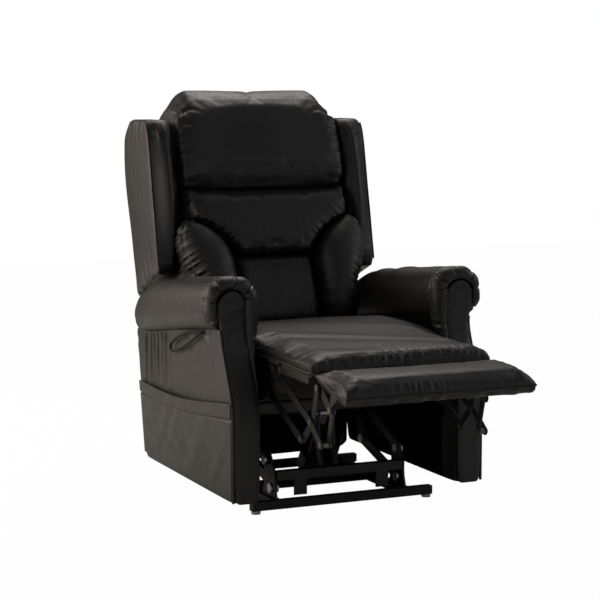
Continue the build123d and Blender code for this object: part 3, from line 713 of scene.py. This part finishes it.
low, high_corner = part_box("seat_cushion")
base_cushion = soft_block("seat_cushion_cover", 56)
form = eased(points_of(base_cushion), 11)
ux, uy, uz = form.T


def middle_and_reach(low, high):
    low, high = np.array(low), np.array(high)
    return (low + high) / 2, (high - low) / 2


middle, reach = middle_and_reach(low, high_corner)
points = middle + form * (reach + (0.040, -0.003, -0.002))
px, py, _ = points.T
front = step(0.5, 1.0, -uy)
corner = step(0.72, 0.80, np.abs(ux))
bulge = np.cos(uz * np.pi / 2)
py -= front * 0.014 * bulge * corner
py += front * 0.004 * (1 - corner)
seam = bump_at(np.abs(px) - 0.186, 0.004)
py += front * 0.004 * seam
top = step(0.1, 1.0, uz)
py += front * corner * 0.0035 * ridges(np.abs(px), 0.017, 0.5) * top
put_points(base_cushion, points)
smooth(base_cushion)
dress(base_cushion, "chassis", "seat_cushion")
face_with(
    base_cushion,
    deck_cloth,
    lambda face: face.center.y < low.y + 0.03 and abs(face.center.x) < 0.184,
)

rail = soft_block("seat_front_rail_cover", 60)
form = eased(points_of(rail), 5)
_, uy, _ = form.T
middle, reach = middle_and_reach(*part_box("seat_front_rail"))
points = middle + form * reach
px, py, _ = points.T
ripple = ridges(px, 0.06, 0.7) * step(0.3, 1.0, -uy)
py += 0.0012 * ripple
put_points(rail, points)
smooth(rail)
dress(rail, "chassis", "seat_front_rail")


def nearest_in(spots):
    finder = KDTree(len(spots))
    for k, spot in enumerate(spots):
        finder.insert(spot, k)
    finder.balance()
    return finder


def stuffed(piece, held, pressure, slack, cap):
    last = 12
    before = points_of(piece)
    fine = nearest_in(before)
    ticking = piece.copy()
    ticking.data = piece.data.copy()
    scene.collection.objects.link(ticking)
    pick(ticking)
    even = ticking.modifiers.new("even", "REMESH")
    even.mode = "VOXEL"
    even.voxel_size = 0.009
    bpy.ops.object.modifier_apply(modifier=even.name)
    start = points_of(ticking)
    coarse = nearest_in(start)
    sewn = ticking.vertex_groups.new(name="sewn")
    sewn.add([k for k, spot in enumerate(start) if held[fine.find(spot)[1]]], 1.0, "REPLACE")
    wadding = ticking.modifiers.new("wadding", "CLOTH")
    cover = wadding.settings
    cover.quality = 5
    cover.mass = 0.3
    cover.tension_stiffness = 22
    cover.compression_stiffness = 22
    cover.shear_stiffness = 12
    cover.bending_stiffness = 0.8
    cover.air_damping = 2.0
    cover.shrink_min = -slack
    cover.use_pressure = True
    cover.uniform_pressure_force = pressure
    cover.effector_weights.gravity = 0
    cover.vertex_group_mass = "sewn"
    wadding.point_cache.frame_start = 1
    wadding.point_cache.frame_end = last
    for count in range(1, last + 1):
        scene.frame_set(count)
    bpy.ops.object.modifier_apply(modifier=wadding.name)
    moved = points_of(ticking) - start
    far = np.linalg.norm(moved, axis=1, keepdims=True)
    moved *= np.minimum(1, cap / np.maximum(far, 1e-9))
    after = before.copy()
    for k, spot in enumerate(before):
        near = coarse.find_n(spot, 6)
        share = np.array([1 / (one[2] ** 2 + 2e-5) for one in near])
        after[k] += share @ moved[[one[1] for one in near]] / share.sum()
    bpy.data.objects.remove(ticking)
    scene.frame_set(1)
    put_points(piece, after)


def rounded_line(route, count, passes):
    route = np.asarray(route, float)
    far = np.concatenate([[0], np.cumsum(np.linalg.norm(np.diff(route, axis=0), axis=1))])
    even = np.linspace(0, far[-1], count)
    line = np.column_stack([np.interp(even, far, route[:, k]) for k in range(route.shape[1])])
    for _ in range(passes):
        line[1:-1] = 0.25 * line[:-2] + 0.5 * line[1:-1] + 0.25 * line[2:]
    return line


def along_line(line, share):
    spots = np.linspace(0, 1, len(line))
    return [np.interp(share, spots, line[:, k]) for k in range(line.shape[1])]


pad = soft_sheet("seat_top_pad", 230, 170)
ux, uy, _ = points_of(pad).T
ring = (ux + 1) / 2
run = (uy + 1) / 2
pad_stations = (-0.238, -0.232, -0.215, -0.120, -0.030, 0.060, 0.190, 0.360, 0.430, 0.452)
along = curve(run, (0, 0.06, 0.14, 0.34, 0.50, 0.62, 0.76, 0.92, 0.97, 1), pad_stations)
half_stations = (-0.238, -0.19, -0.03, 0.05, 0.15, 0.40, 0.452)
half = curve(along, half_stations, (0.256, 0.261, 0.262, 0.264, 0.286, 0.286, 0.268))
under = curve(along, (-0.238, -0.03, 0.0, 0.452), (0.4300, 0.4364, 0.4366, 0.4366))
crowns = (0.4560, 0.4690, 0.4760, 0.4805, 0.4830, 0.4880, 0.4950, 0.4880, 0.4720, 0.4450)
crown = curve(along, pad_stations, crowns)
across = curve(ring, (0, 0.05, 0.70, 0.75, 0.97, 1.0), (-0.985, -1, 1, 0.985, -0.975, -0.985))
x = half * across
level = curve(ring, (0, 0.05, 0.09, 0.66, 0.70, 0.75, 1.0), (0, 0.52, 0.72, 0.72, 0.52, 0, 0))
dome = 1 - 0.12 * np.abs(across) ** 3.2
upper = (ring > 0.05) & (ring < 0.70)
rim = 1 - np.abs(across) ** 22
z = under + (crown - under) * np.where(upper, dome * (0.52 + 0.48 * rim), level)
y = ARM_FRONT + along - 0.006 * (1 - np.abs(across) ** 6) * bump_at(along + 0.238, 0.03)
closing = step(0.03, 0.0, run) + step(0.985, 1.0, run)
z = z + (0.442 - z) * closing
put_points(pad, np.column_stack([x, y, z]))
fold_seam(pad, close_ends=True)
points = points_of(pad)
px, _, pz = points.T
held = (pz < 0.4395) | (np.abs(px) > 0.254)
stuffed(pad, held, 1.8, 0.008, 0.005)
points = points_of(pad)
px, py, _ = points.T
normals = normals_of(pad)
along = py - ARM_FRONT
upper = step(-0.3, 0.5, normals[:, 2])
from_front = np.abs(along + 0.240)
pucker = ridges(px, 0.0175, 0.4) * bump_at(px - 0.01, 0.10)
push(points, normals, 0.0030 * pucker * np.exp(-from_front / 0.030))
pucker = ridges(px, 0.027, 1.4) * np.exp(-from_front / 0.018)
push(points, normals, 0.0014 * pucker)
edge_folds = ridges(along, 0.026, 1.3) * step(0.205, 0.256, np.abs(px)) * step(-0.215, -0.10, along)
push(points, normals, 0.0005 * edge_folds * upper * (1 - step(0.06, 0.12, along)))
creases = ridges(px + 0.8 * along, 0.060, 0.2) * bump_at(np.abs(px) - 0.21, 0.06)
push(points, normals, 0.0007 * creases * upper * step(0.02, 0.12, along))
push(points, normals, 0.0016 * upper * ridges(0.5 * px + along, 0.17, 0.6))
put_points(pad, points)
smooth(pad)
pad_route = []
welt_stations = (-0.238, -0.19, -0.03, 0.05, 0.10)
for spot in np.linspace(0.10, -0.226, 14):
    wide = float(curve(spot, welt_stations, (0.2575, 0.2620, 0.2630, 0.2650, 0.2745)))
    level = float(curve(spot, (-0.238, -0.03, 0.10), (0.4360, 0.4425, 0.4430)))
    pad_route.append((wide, ARM_FRONT + float(spot), level))
pad_route.append((0.250, ARM_FRONT - 0.2375, 0.4355))
for spot in np.linspace(0.22, -0.22, 9):
    pad_route.append((float(spot), ARM_FRONT - 0.2435, 0.4352))
pad_route += [(-a, b, c) for a, b, c in reversed(pad_route[:15])]
sew_on(pad, piping("pad_welt", pad_route, 0.0060))
cover(pad)
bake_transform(pad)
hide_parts("seat_pad", "calf_pad")

# Footrest pad
# A crowned pad of foam on the footrest board. Its cover has a seam along the front, drawn-in ends
# with pointed corners, and a looser strip of leather below the seam.
rest_tilt = Matrix.Rotation(math.radians(10), 4, "X")
rest_place = Matrix.Translation((0, ARM_FRONT - 0.284, 0.438)) @ rest_tilt
foot_section = rounded_line(
    [
        (0.060, -0.028), (0.024, -0.022), (0.003, -0.012), (-0.003, 0.000), (0.003, 0.008),
        (0.022, 0.017), (0.070, 0.027), (0.115, 0.033), (0.146, 0.032), (0.166, 0.022),
        (0.178, 0.006), (0.180, -0.002), (0.176, -0.012), (0.168, -0.026), (0.140, -0.031),
        (0.100, -0.031), (0.060, -0.028),
    ],
    200,
    16,
)
foot = soft_sheet("footrest_pad_cover", 170, 200)
ux, uy, _ = points_of(foot).T
ring = (ux + 1) / 2
reach = uy
deep, rise = along_line(foot_section, ring)
ends = np.abs(reach)
out = curve(ends, (0, 0.86, 0.90, 0.94, 1.0), (0, 0.236, 0.251, 0.258, 0.2585))
drawn = step(0.82, 0.95, ends)
flatten = np.where(rise > 0, 1 - 0.52 * drawn, 1 - 0.12 * drawn)
rise = rise * flatten
foot_middle = 0.088
corner = np.abs(deep - foot_middle) / foot_middle
x = np.sign(reach) * (out + 0.010 * step(0.70, 0.93, ends) * (corner**2 - 0.4))
cap = step(0.945, 1.0, ends)
deep = deep + (foot_middle - deep) * cap
rise = rise + (-0.010 - rise) * cap
put_points(foot, np.column_stack([x, -deep, rise]))
fold_seam(foot)
points = points_of(foot)
px, _, pz = points.T
stuffed(foot, (pz < -0.004) | (np.abs(px) > 0.250), 1.8, 0.008, 0.003)
points = points_of(foot)
px, py, pz = points.T
normals = normals_of(foot)
front = step(0.15, 0.7, -normals[:, 1])
foot_seam = -0.003
seam = bump_at(pz - foot_seam, 0.0022)
push(points, normals, -0.0034 * front * seam)
below = step(-0.004, -0.012, pz)
push(points, normals, 0.0026 * front * below * ridges(px, 0.085, 0.9))
middle = bump_at(px + 0.06, 0.10)
above = bump_at(pz - 0.008, 0.014)
push(points, normals, 0.0022 * front * above * middle * ridges(px, 0.020, 0.1))
gather = np.exp(-np.abs(pz + 0.003) / 0.010)
push(points, normals, 0.0012 * front * ridges(px, 0.031, 1.2) * gather)
corner = step(0.15, 0.25, np.abs(px)) * step(-0.2, 0.5, normals[:, 2])
push(points, normals, 0.0004 * corner * ridges(py - 0.7 * np.abs(px), 0.026, 0.3))
put_points(foot, points)
smooth(foot)
end_route = []
for spot in np.linspace(0.002, -0.178, 11):
    away = abs(float(spot) + foot_middle) / 0.090
    end_route.append((-0.2590 - 0.010 * (away**2 - 0.4), float(spot), -0.0005))
front_route = [
    (spot, -0.1795 - 0.0005 * math.cos(spot * 9), -0.0030)
    for spot in np.linspace(-0.258, 0.258, 16).tolist()
]
foot_welts = [
    piping("end_welt", end_route, 0.0056),
    piping("end_welt_far", [(-a, b, c) for a, b, c in end_route], 0.0056),
    piping("front_seam_welt", front_route, 0.0030),
]
sew_on(foot, *foot_welts)
foot.data.transform(rest_place)
dress(foot, "footrest", "footrest_pad")

# Back cushions
# The back is a timber frame. A headrest pillow hangs over its top, a tapered lumbar pad and a plain
# lower pad fill its middle, and a leaf-shaped bolster is sewn in at each side.
BACK_Y = ARM_FRONT + 0.620049
BACK_Z = 0.3302484
BACK_LEAN = math.radians(20)
back_place = Matrix.Translation((0, BACK_Y, BACK_Z)) @ Matrix.Rotation(-BACK_LEAN, 4, "X")

pillow_section = rounded_line(
    [
        (0.044, 0.510), (-0.030, 0.507), (-0.092, 0.507), (-0.130, 0.516),
        (-0.152, 0.542), (-0.158, 0.585), (-0.156, 0.640), (-0.151, 0.700),
        (-0.143, 0.760), (-0.126, 0.806), (-0.088, 0.834), (-0.030, 0.844),
        (0.030, 0.835), (0.068, 0.806), (0.097, 0.754), (0.099, 0.705),
    ],
    240,
    18,
)
pillow = soft_sheet("head_pillow_cover", 170, 190)
ux, uy, _ = points_of(pillow).T
n, s = along_line(pillow_section, (ux + 1) / 2)
ends = np.abs(uy)
turn = np.clip((ends - 0.72) / 0.18, 0, 1) * np.pi / 2
out = curve(ends, (0, 0.72), (0, 0.906)) + np.where(ends > 0.72, 0.094 * np.sin(turn), 0)
share = 1 - 0.020 * ends**2 - 0.105 * (1 - np.cos(turn))
share *= curve(ends, (0.90, 1.0), (1, 0))
top_corner = step(0.70, 0.81, s) * step(0.55, 0.95, out)
wide = 0.2600 - 0.008 * step(0.73, 0.81, s)
n = -0.030 + (n + 0.030) * share
s = 0.675 + (s - 0.675) * share - 0.046 * top_corner * step(0.76, 1.0, out)
put_points(pillow, np.column_stack([np.sign(uy) * out * wide, n, s]))
fold_seam(pillow, close_ends=True)
points = points_of(pillow)
px, py, pz = points.T
stuffed(pillow, (py > 0.02) | (pz < 0.516) | (np.abs(px) > 0.254), 2.0, 0.010, 0.007)
points = points_of(pillow)
px, py, pz = points.T
normals = normals_of(pillow)
seen_from_front = -normals[:, 1] + 0.6 * np.abs(normals[:, 0]) + 0.5 * normals[:, 2]
for hand in (-1, 1):
    u = hand * px
    for start, end, deep, broad in (
        ((0.244, 0.738), (0.178, 0.742), 0.0070, 0.0070),
        ((0.240, 0.770), (0.172, 0.800), 0.0040, 0.0090),
        ((0.236, 0.790), (0.190, 0.822), 0.0030, 0.0080),
        ((0.246, 0.700), (0.212, 0.684), 0.0040, 0.0060),
    ):
        a, b = np.array(start), np.array(end)
        spot = np.column_stack([u, pz]) - a
        t = np.clip(spot @ (b - a) / ((b - a) @ (b - a)), 0, 1)
        bend = np.array([0, 0.012]) * np.sin(np.pi * t)[:, None]
        away = spot - t[:, None] * (b - a) - bend
        near = np.linalg.norm(away, axis=1)
        fade = (1 - 0.9 * t) * step(0.25, 0.6, seen_from_front)
        push(points, normals, -deep * fade * bump_at(near, broad))
        lip = bump_at(near - 1.9 * broad, 1.2 * broad) * (away[:, 1] < 0)
        push(points, normals, 0.25 * deep * fade * lip)
sides = step(0.55, 0.95, np.abs(normals[:, 0]))
push(points, normals, -0.0035 * sides * bump_at(py + 0.125, 0.0035))
edge = step(0.205, 0.240, np.abs(px)) * step(0.1, 0.5, -normals[:, 1])
push(points, normals, 0.0014 * edge * ridges(pz, 0.030, 0.5) * (1 - step(0.70, 0.74, pz)))
push(points, normals, 0.0022 * np.sin(px * 21 + 0.8) * step(0.3, 0.9, -normals[:, 1]))
put_points(pillow, points)
smooth(pillow)
pillow.data.transform(back_place)
dress(pillow, "backrest", "head_pillow")


def back_pad(name, columns, rows, low_s, high_s, half_at, front_at, seam_at, soft):
    piece = soft_sheet(name, columns, rows)
    ux, uy, _ = points_of(piece).T
    wall = 0.90
    rear = 0.0450
    u = np.clip(ux / wall, -1, 1)
    v = np.clip(uy / wall, -1, 1)
    down = np.maximum(np.abs(ux), np.abs(uy))
    down = np.clip((down - wall) / (1 - wall), 0, 1)
    s = (low_s + high_s) / 2 + v * (high_s - low_s) / 2
    half = curve(s, *half_at)
    inside = half * (1 - np.abs(u))
    puff = 1 - (1 - np.clip(inside / soft, 0, 1)) ** 2.3
    front = curve(s, *front_at)
    n = -(seam_at + (front - seam_at) * puff)
    n = n + (rear - n) * down
    put_points(piece, np.column_stack([half * u, n, s]))
    fold_seam(piece, close_ends=True)
    return piece


lumbar_half = (
    (0.305, 0.318, 0.335, 0.362, 0.388, 0.404, 0.418, 0.436, 0.535),
    (0.1240, 0.131, 0.1430, 0.1650, 0.1970, 0.2230, 0.2520, 0.2620, 0.2620),
)
lumbar_front = (
    (0.305, 0.307, 0.311, 0.320, 0.380, 0.430, 0.470, 0.495, 0.509),
    (0.128, 0.148, 0.156, 0.161, 0.164, 0.161, 0.154, 0.144, 0.130),
)
lumbar = back_pad(
    "lumbar_cushion_cover", 190, 130, 0.3055, 0.5085, lumbar_half, lumbar_front, 0.106, 0.030
)
points = points_of(lumbar)
px, py, pz = points.T
border_x = curve(pz, *lumbar_half)
held = (py > -0.09) | (pz < 0.309) | (np.abs(px) > border_x - 0.004)
stuffed(lumbar, held, 2.0, 0.010, 0.006)
points = points_of(lumbar)
px, _, pz = points.T
normals = normals_of(lumbar)
facing = step(0.0, 0.6, -normals[:, 1])
from_seam = pz - 0.307
push(points, normals, 0.0017 * facing * ridges(px, 0.0165, 0.3) * np.exp(-from_seam / 0.016))
push(points, normals, 0.0012 * facing * ridges(px, 0.034, 1.3) * np.exp(-from_seam / 0.030))
border_x = curve(pz, *lumbar_half)
inset = np.maximum(border_x - np.abs(px), 0)
slant = 0.75 * pz + 0.65 * np.abs(px)
sides = np.exp(-inset / 0.024) * step(0.325, 0.36, pz) * (1 - step(0.45, 0.48, pz))
push(points, normals, 0.0046 * facing * sides * ridges(slant, 0.025, 0.9))
ears = bump_at(np.abs(px) - 0.243, 0.012) * bump_at(pz - 0.498, 0.012)
push(points, normals, 0.006 * facing * ears)
put_points(lumbar, points)
smooth(lumbar)
lumbar.data.transform(back_place)
dress(lumbar, "backrest", "lumbar_cushion")

lower_half = ((0.090, 0.130, 0.260, 0.305), (0.128, 0.130, 0.129, 0.126))
lower_front = (
    (0.090, 0.110, 0.150, 0.220, 0.270, 0.294, 0.305),
    (0.132, 0.144, 0.150, 0.149, 0.142, 0.132, 0.112),
)
lower_back = back_pad(
    "lower_back_cover", 110, 100, 0.0920, 0.3045, lower_half, lower_front, 0.108, 0.035
)
points = points_of(lower_back)
px, _, pz = points.T
normals = normals_of(lower_back)
facing = step(0.0, 0.6, -normals[:, 1])
push(points, normals, 0.0012 * facing * ridges(px, 0.022, 0.2) * np.exp(-(0.305 - pz) / 0.02))
low_folds = ridges(px + 0.2 * pz, 0.020, 0.9) * np.exp(-(pz - 0.09) / 0.03)
push(points, normals, 0.0020 * facing * low_folds)
push(points, normals, 0.0016 * facing * np.sin(px * 26) * np.sin((pz - 0.09) * 14))
put_points(lower_back, points)
smooth(lower_back)
lower_back.data.transform(back_place)
dress(lower_back, "backrest", "lower_back_cushion")

bolster = soft_sheet("bolster_left_cover", 170, 150)
ux, uy, _ = points_of(bolster).T
angle = np.pi * (ux + 1) + np.pi / 2
run = (uy + 1) / 2
bolster_levels = (0.076, 0.090, 0.120, 0.200, 0.262, 0.320, 0.345, 0.370, 0.395, 0.410, 0.419)
bolster_in = (0.188, 0.162, 0.140, 0.1315, 0.1315, 0.1405, 0.1530, 0.1730, 0.2050, 0.2310, 0.2500)
bolster_out = (0.215, 0.236, 0.249, 0.2590, 0.2840, 0.2990, 0.3010, 0.2980, 0.2900, 0.2790, 0.2640)
bolster_nose = (0.124, 0.150, 0.174, 0.1920, 0.1930, 0.1870, 0.1810, 0.1720, 0.1600, 0.1460, 0.1300)
s = 0.076 + 0.343 * run
x_in = curve(s, bolster_levels, bolster_in)
x_out = curve(s, bolster_levels, bolster_out)
nose = curve(s, bolster_levels, bolster_nose)
x = (x_out + x_in) / 2 + (x_out - x_in) / 2 * squared(np.cos(angle), 2.3)
waist = -0.112
fore = np.sin(angle) < 0
front_n = waist + (nose + waist) * squared(np.sin(angle), 2.1)
n = np.where(fore, front_n, waist + (0.045 - waist) * squared(np.sin(angle), 7))
x = np.where(n > -0.098, np.minimum(x, 0.2805 - 0.03 * step(0.27, 0.23, s)), x)
put_points(bolster, np.column_stack([x, n, s]))
fold_seam(bolster, close_ends=True)
points = points_of(bolster)
_, py, _ = points.T
stuffed(bolster, py > -0.09, 2.0, 0.010, 0.005)
points = points_of(bolster)
px, py, pz = points.T
normals = normals_of(bolster)
level = pz
seam_x = curve(level, bolster_levels, np.array(bolster_out) - 0.011)
facing = step(-0.3, 0.2, -normals[:, 1] + 0.4 * normals[:, 0])
from_seam = px - seam_x
outer_seam = facing * step(-0.08, -0.12, py)
push(points, normals, -0.0036 * outer_seam * bump_at(from_seam, 0.0026))
gather = np.exp(-np.abs(from_seam) / 0.020) * step(0.0, 0.004, np.abs(from_seam))
push(points, normals, 0.0034 * outer_seam * gather * ridges(level + 0.45 * px, 0.0225, 0.2))
inner = np.exp(-np.maximum(px - 0.140, 0) / 0.02) * facing
push(points, normals, 0.0012 * inner * ridges(level, 0.045, 0.8))
put_points(bolster, points)
smooth(bolster)
bolster.data.transform(back_place)
dress_both(bolster, "bolster_right_cover", "backrest", "bolster_{}")

# Wings
# Upholstered wings stand on both edges of the back. Each has a flat outer panel, a soft rolled
# front edge, a welt between the two and a small cap sewn over its top.
wing = soft_block("wing_left_cover", 84)
ux, uy, uz = eased(points_of(wing), 13).T
share_back = (uy + 1) / 2
share_up = (uz + 1) / 2
rises = (0.0, 0.06, 0.16, 0.34, 0.52, 0.72, 0.86, 0.95, 1.0)
welt_run = (0.634, 0.638, 0.648, 0.664, 0.682, 0.700, 0.714, 0.728, 0.746)
outer_edge = curve(share_up, rises, welt_run)
nose_edge = curve(share_up, rises, (0.634, 0.634, 0.636, 0.638, 0.648, 0.668, 0.688, 0.702, 0.722))
front_y = nose_edge + (outer_edge - nose_edge) * step(-0.2, 1.0, ux) + 0.026 * step(-0.2, -1.0, ux)
rear_y = curve(share_up, (0, 0.3, 0.80, 0.90, 1.0), (0.832, 0.876, 0.946, 0.944, 0.905))
y = front_y + (rear_y - front_y) * share_back
foot_z = curve(y, (0.628, 0.700, 0.760, 0.800, 0.832), (0.6165, 0.5870, 0.5600, 0.5340, 0.5140))
top_z = 1.0560 - 0.010 * step(0.86, 0.93, y) - 0.010 * step(0.74, 0.69, y)
z = foot_z + (top_z - foot_z) * share_up
x = 0.3175 + 0.0345 * ux
x -= 0.011 * ((1 - ux) / 2) ** 1.3 * step(0.42, 0.10, share_back) * step(0.05, 0.2, share_up)
y = y + ARM_FRONT
outer = step(0.5, 1.0, ux)
x += outer * 0.0030 * np.sin(np.pi * share_back) * np.sin(np.pi * share_up)
x += outer * 0.0004 * ridges(y - 0.42 * z, 0.060, 0.5) * (0.25 + 0.75 * step(0.40, 0.0, share_up))
x += outer * 0.0022 * ridges(y - 0.45 * z, 0.024, 1.4) * np.exp(-share_up / 0.10)
x += outer * 0.0012 * ridges(y, 0.040, 0.6) * np.exp(-(1 - share_up) / 0.07)
put_points(wing, np.column_stack([x, y, z]))
points = points_of(wing)
px, _, pz = points.T
normals = normals_of(wing)
nose = step(0.2, 0.7, -normals[:, 1])
cap_seam = 1.012
push(points, normals, -0.0032 * nose * bump_at(pz - cap_seam, 0.0030))
near_cap = np.exp(-np.abs(pz - cap_seam) / 0.018)
push(points, normals, 0.0016 * nose * ridges(px, 0.020, 0.2) * near_cap)
push(points, normals, 0.0016 * nose * ridges(pz, 0.030, 0.9) * np.exp(-(pz - 0.60) / 0.06))
put_points(wing, points)
smooth(wing)
wing_route = []
for up in np.linspace(0.03, 0.975, 22).tolist():
    edge_y = float(curve(up, rises, welt_run))
    wing_route.append((0.3500, ARM_FRONT + edge_y + 0.0045, 0.6165 + (1.0540 - 0.6165) * up))
sew_on(wing, piping("wing_welt", wing_route, 0.0046))
dress_both(wing, "wing_right_cover", "backrest", "wing_{}")

# Outside back
# One plain leather panel, thinly padded, closes the rear of the back frame between the wings. Below
# the frame it hangs on as a straight apron, tacked to the seat frame, that screens the mechanism.
rear_cover = soft_block("outside_back_cover", 70)
ux, uy, uz = eased(points_of(rear_cover), 14).T
fall = (1 - uz) / 2 * 0.955
half = 0.2810 + 0.0145 * step(0.60, 0.68, fall)
x = np.clip(ux * half * 1.05, -half, half)
s = 0.690 - fall
n = 0.1033 + 0.0046 * uy
rear = step(0.3, 1.0, uy)
n += rear * 0.006 * np.cos(ux * np.pi / 2) * np.sin(np.pi * np.clip(fall / 0.69, 0, 1))
n += rear * 0.0012 * ridges(x + 0.2 * s, 0.11, 0.6)
hang = np.maximum(-s, 0)
on_frame = step(-0.06, 0.02, s)
y = BACK_Y + n * math.cos(BACK_LEAN) + np.maximum(s, 0) * math.sin(BACK_LEAN)
z = BACK_Z - n * math.sin(BACK_LEAN) * on_frame - 0.0353 * (1 - on_frame)
z += np.maximum(s, 0) * math.cos(BACK_LEAN) - hang
y += 0.003 * ridges(x, 0.14, 0.4) * step(0.0, 0.18, hang)
put_points(rear_cover, np.column_stack([x, y, z]))
smooth(rear_cover)
cover(rear_cover)
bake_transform(rear_cover)
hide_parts("outside_back")
face_with(rear_cover, lining, lambda face: face.normal.y < -0.3)

# Steelwork
# The base frame, lift arms, carrier plates and footrest links are cut from tube and strip and
# powder-coated black. The coat is finely pitted and rubbed thin in patches.
wear = bpy.data.node_groups.new("coat_wear", "ShaderNodeTree")
add_sockets(wear, "INPUT", "Color", "Coat", "Rubbed")
add_sockets(wear, "INPUT", "Float", "Pit Size")
add_outputs(wear)
given = wear.nodes.new("NodeGroupInput")
made = wear.nodes.new("NodeGroupOutput")
patch = add_node(wear, "TexNoise", Scale=34, Detail=6)
pits = add_node(wear, "TexNoise", Detail=2)
patch_mask = add_node(wear, "MapRange", From_Min=0.48, From_Max=0.72)
coat_tone = add_node(wear, "Mix")
coat_tone.data_type = "RGBA"
coat_gloss = add_node(wear, "MapRange", To_Min=0.46, To_Max=0.32)
pit_bump = add_node(wear, "Bump", Strength=0.25, Distance=0.0004)
lay_out(wear, patch, pits)
wire(
    wear,
    (given, "Pit Size", pits, "Scale"),
    (patch, "Fac", patch_mask, "Value"),
    (patch_mask, "Result", coat_tone, "Factor"),
    (given, "Coat", coat_tone, "A"),
    (given, "Rubbed", coat_tone, "B"),
    (patch_mask, "Result", coat_gloss, "Value"),
    (pits, "Fac", pit_bump, "Height"),
    (coat_tone, "Result", made, "Color"),
    (coat_gloss, "Result", made, "Roughness"),
    (pit_bump, "Normal", made, "Normal"),
)


def coated(name, coat, rubbed, pit_size, metal):
    settings = dict(Coat=(*coat, 1), Rubbed=(*rubbed, 1), Pit_Size=pit_size)
    return group_material(name, wear, settings, Metallic=metal)


def finish_nodes(paint, *names):
    for node_name in names:
        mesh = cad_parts[node_name].data
        mesh.materials.clear()
        mesh.materials.append(paint)


black_coat = coated("black_powder_coat", (0.007, 0.007, 0.0073), (0.014, 0.014, 0.0145), 900, 0.0)
link_coat = coated("link_coat", (0.018, 0.018, 0.019), (0.040, 0.040, 0.042), 700, 0.35)
finish_nodes(
    black_coat,
    "base_front_rail",
    "base_rear_rail",
    "base_side_rails",
    "base_cross_rail",
    "riser_plates",
    "riser_cross_tube",
    "lower_lift_arms",
    "upper_lift_arms",
    "lift_torque_tube",
    "carrier_plates",
    "recline_brackets",
    "back_hinge_straps",
)
finish_nodes(
    link_coat,
    "footrest_mount_plates",
    "footrest_rear_links",
    "footrest_front_links",
    "footrest_cross_links",
    "footrest_toe_links",
    "footrest_brackets",
    "calf_brackets",
)

# Bolts and rivets
# Turned pins with bright zinc plating, a little streaked by the bath, and a ground actuator rod.
# The rivets of the footrest links are plain steel, dulled by oil.
zinc = coated("bright_zinc", (0.66, 0.66, 0.64), (0.78, 0.77, 0.72), 1200, 1.0)
finish_nodes(
    zinc, "base_pivot_bolts", "carrier_bolts", "lift_arm_studs", "lever_pin", "actuator_rod"
)
rivet_steel = coated("rivet_steel", (0.16, 0.16, 0.155), (0.26, 0.255, 0.24), 1200, 1.0)
finish_nodes(
    rivet_steel,
    "mount_plate_rivets",
    "rear_link_rivets",
    "front_link_rivets",
    "footrest_rivets",
    "recline_bolts",
)

# Actuator and glides
# The lift actuator's housing and motor cover are moulded in black plastic with a sparked texture.
# The glides under the base are pale moulded plastic, scuffed by the floor.
moulded = coated("moulded_black", (0.010, 0.010, 0.010), (0.018, 0.018, 0.018), 1500, 0.0)
finish_nodes(moulded, "actuator_housing", "actuator_motor")
glide_plastic = coated("pale_glide", (0.50, 0.49, 0.45), (0.33, 0.32, 0.30), 800, 0.0)
finish_nodes(glide_plastic, "floor_glides")

# Timber boards
# The seat's hidden rails, its deck and the frame of the back are sawn timber, stained dark and
# screwed together. The boards at the front of the seat and under the pads wear the deck cloth.
timber, tree, wood = new_material("sawn_timber", Roughness=0.75)
stretch = add_node(tree, "Mapping", Scale=(4, 40, 40))
figure = add_node(tree, "TexNoise", Scale=3, Detail=8)
figure_tone = add_ramp(tree, (0.014, 0.010, 0.007), (0.040, 0.029, 0.019))
figure_bump = add_node(tree, "Bump", Strength=0.3, Distance=0.0005)
lay_out(tree, stretch)
wire(
    tree,
    (stretch, "Vector", figure, "Vector"),
    (figure, "Fac", figure_tone, "Fac"),
    (figure_tone, "Color", wood, "Base Color"),
    (figure, "Fac", figure_bump, "Height"),
    (figure_bump, "Normal", wood, "Normal"),
)
finish_nodes(timber, "seat_rear_rail", "seat_side_rails", "seat_deck", "back_frame")
finish_nodes(deck_cloth, "seat_front_board", "footrest_board", "calf_board")
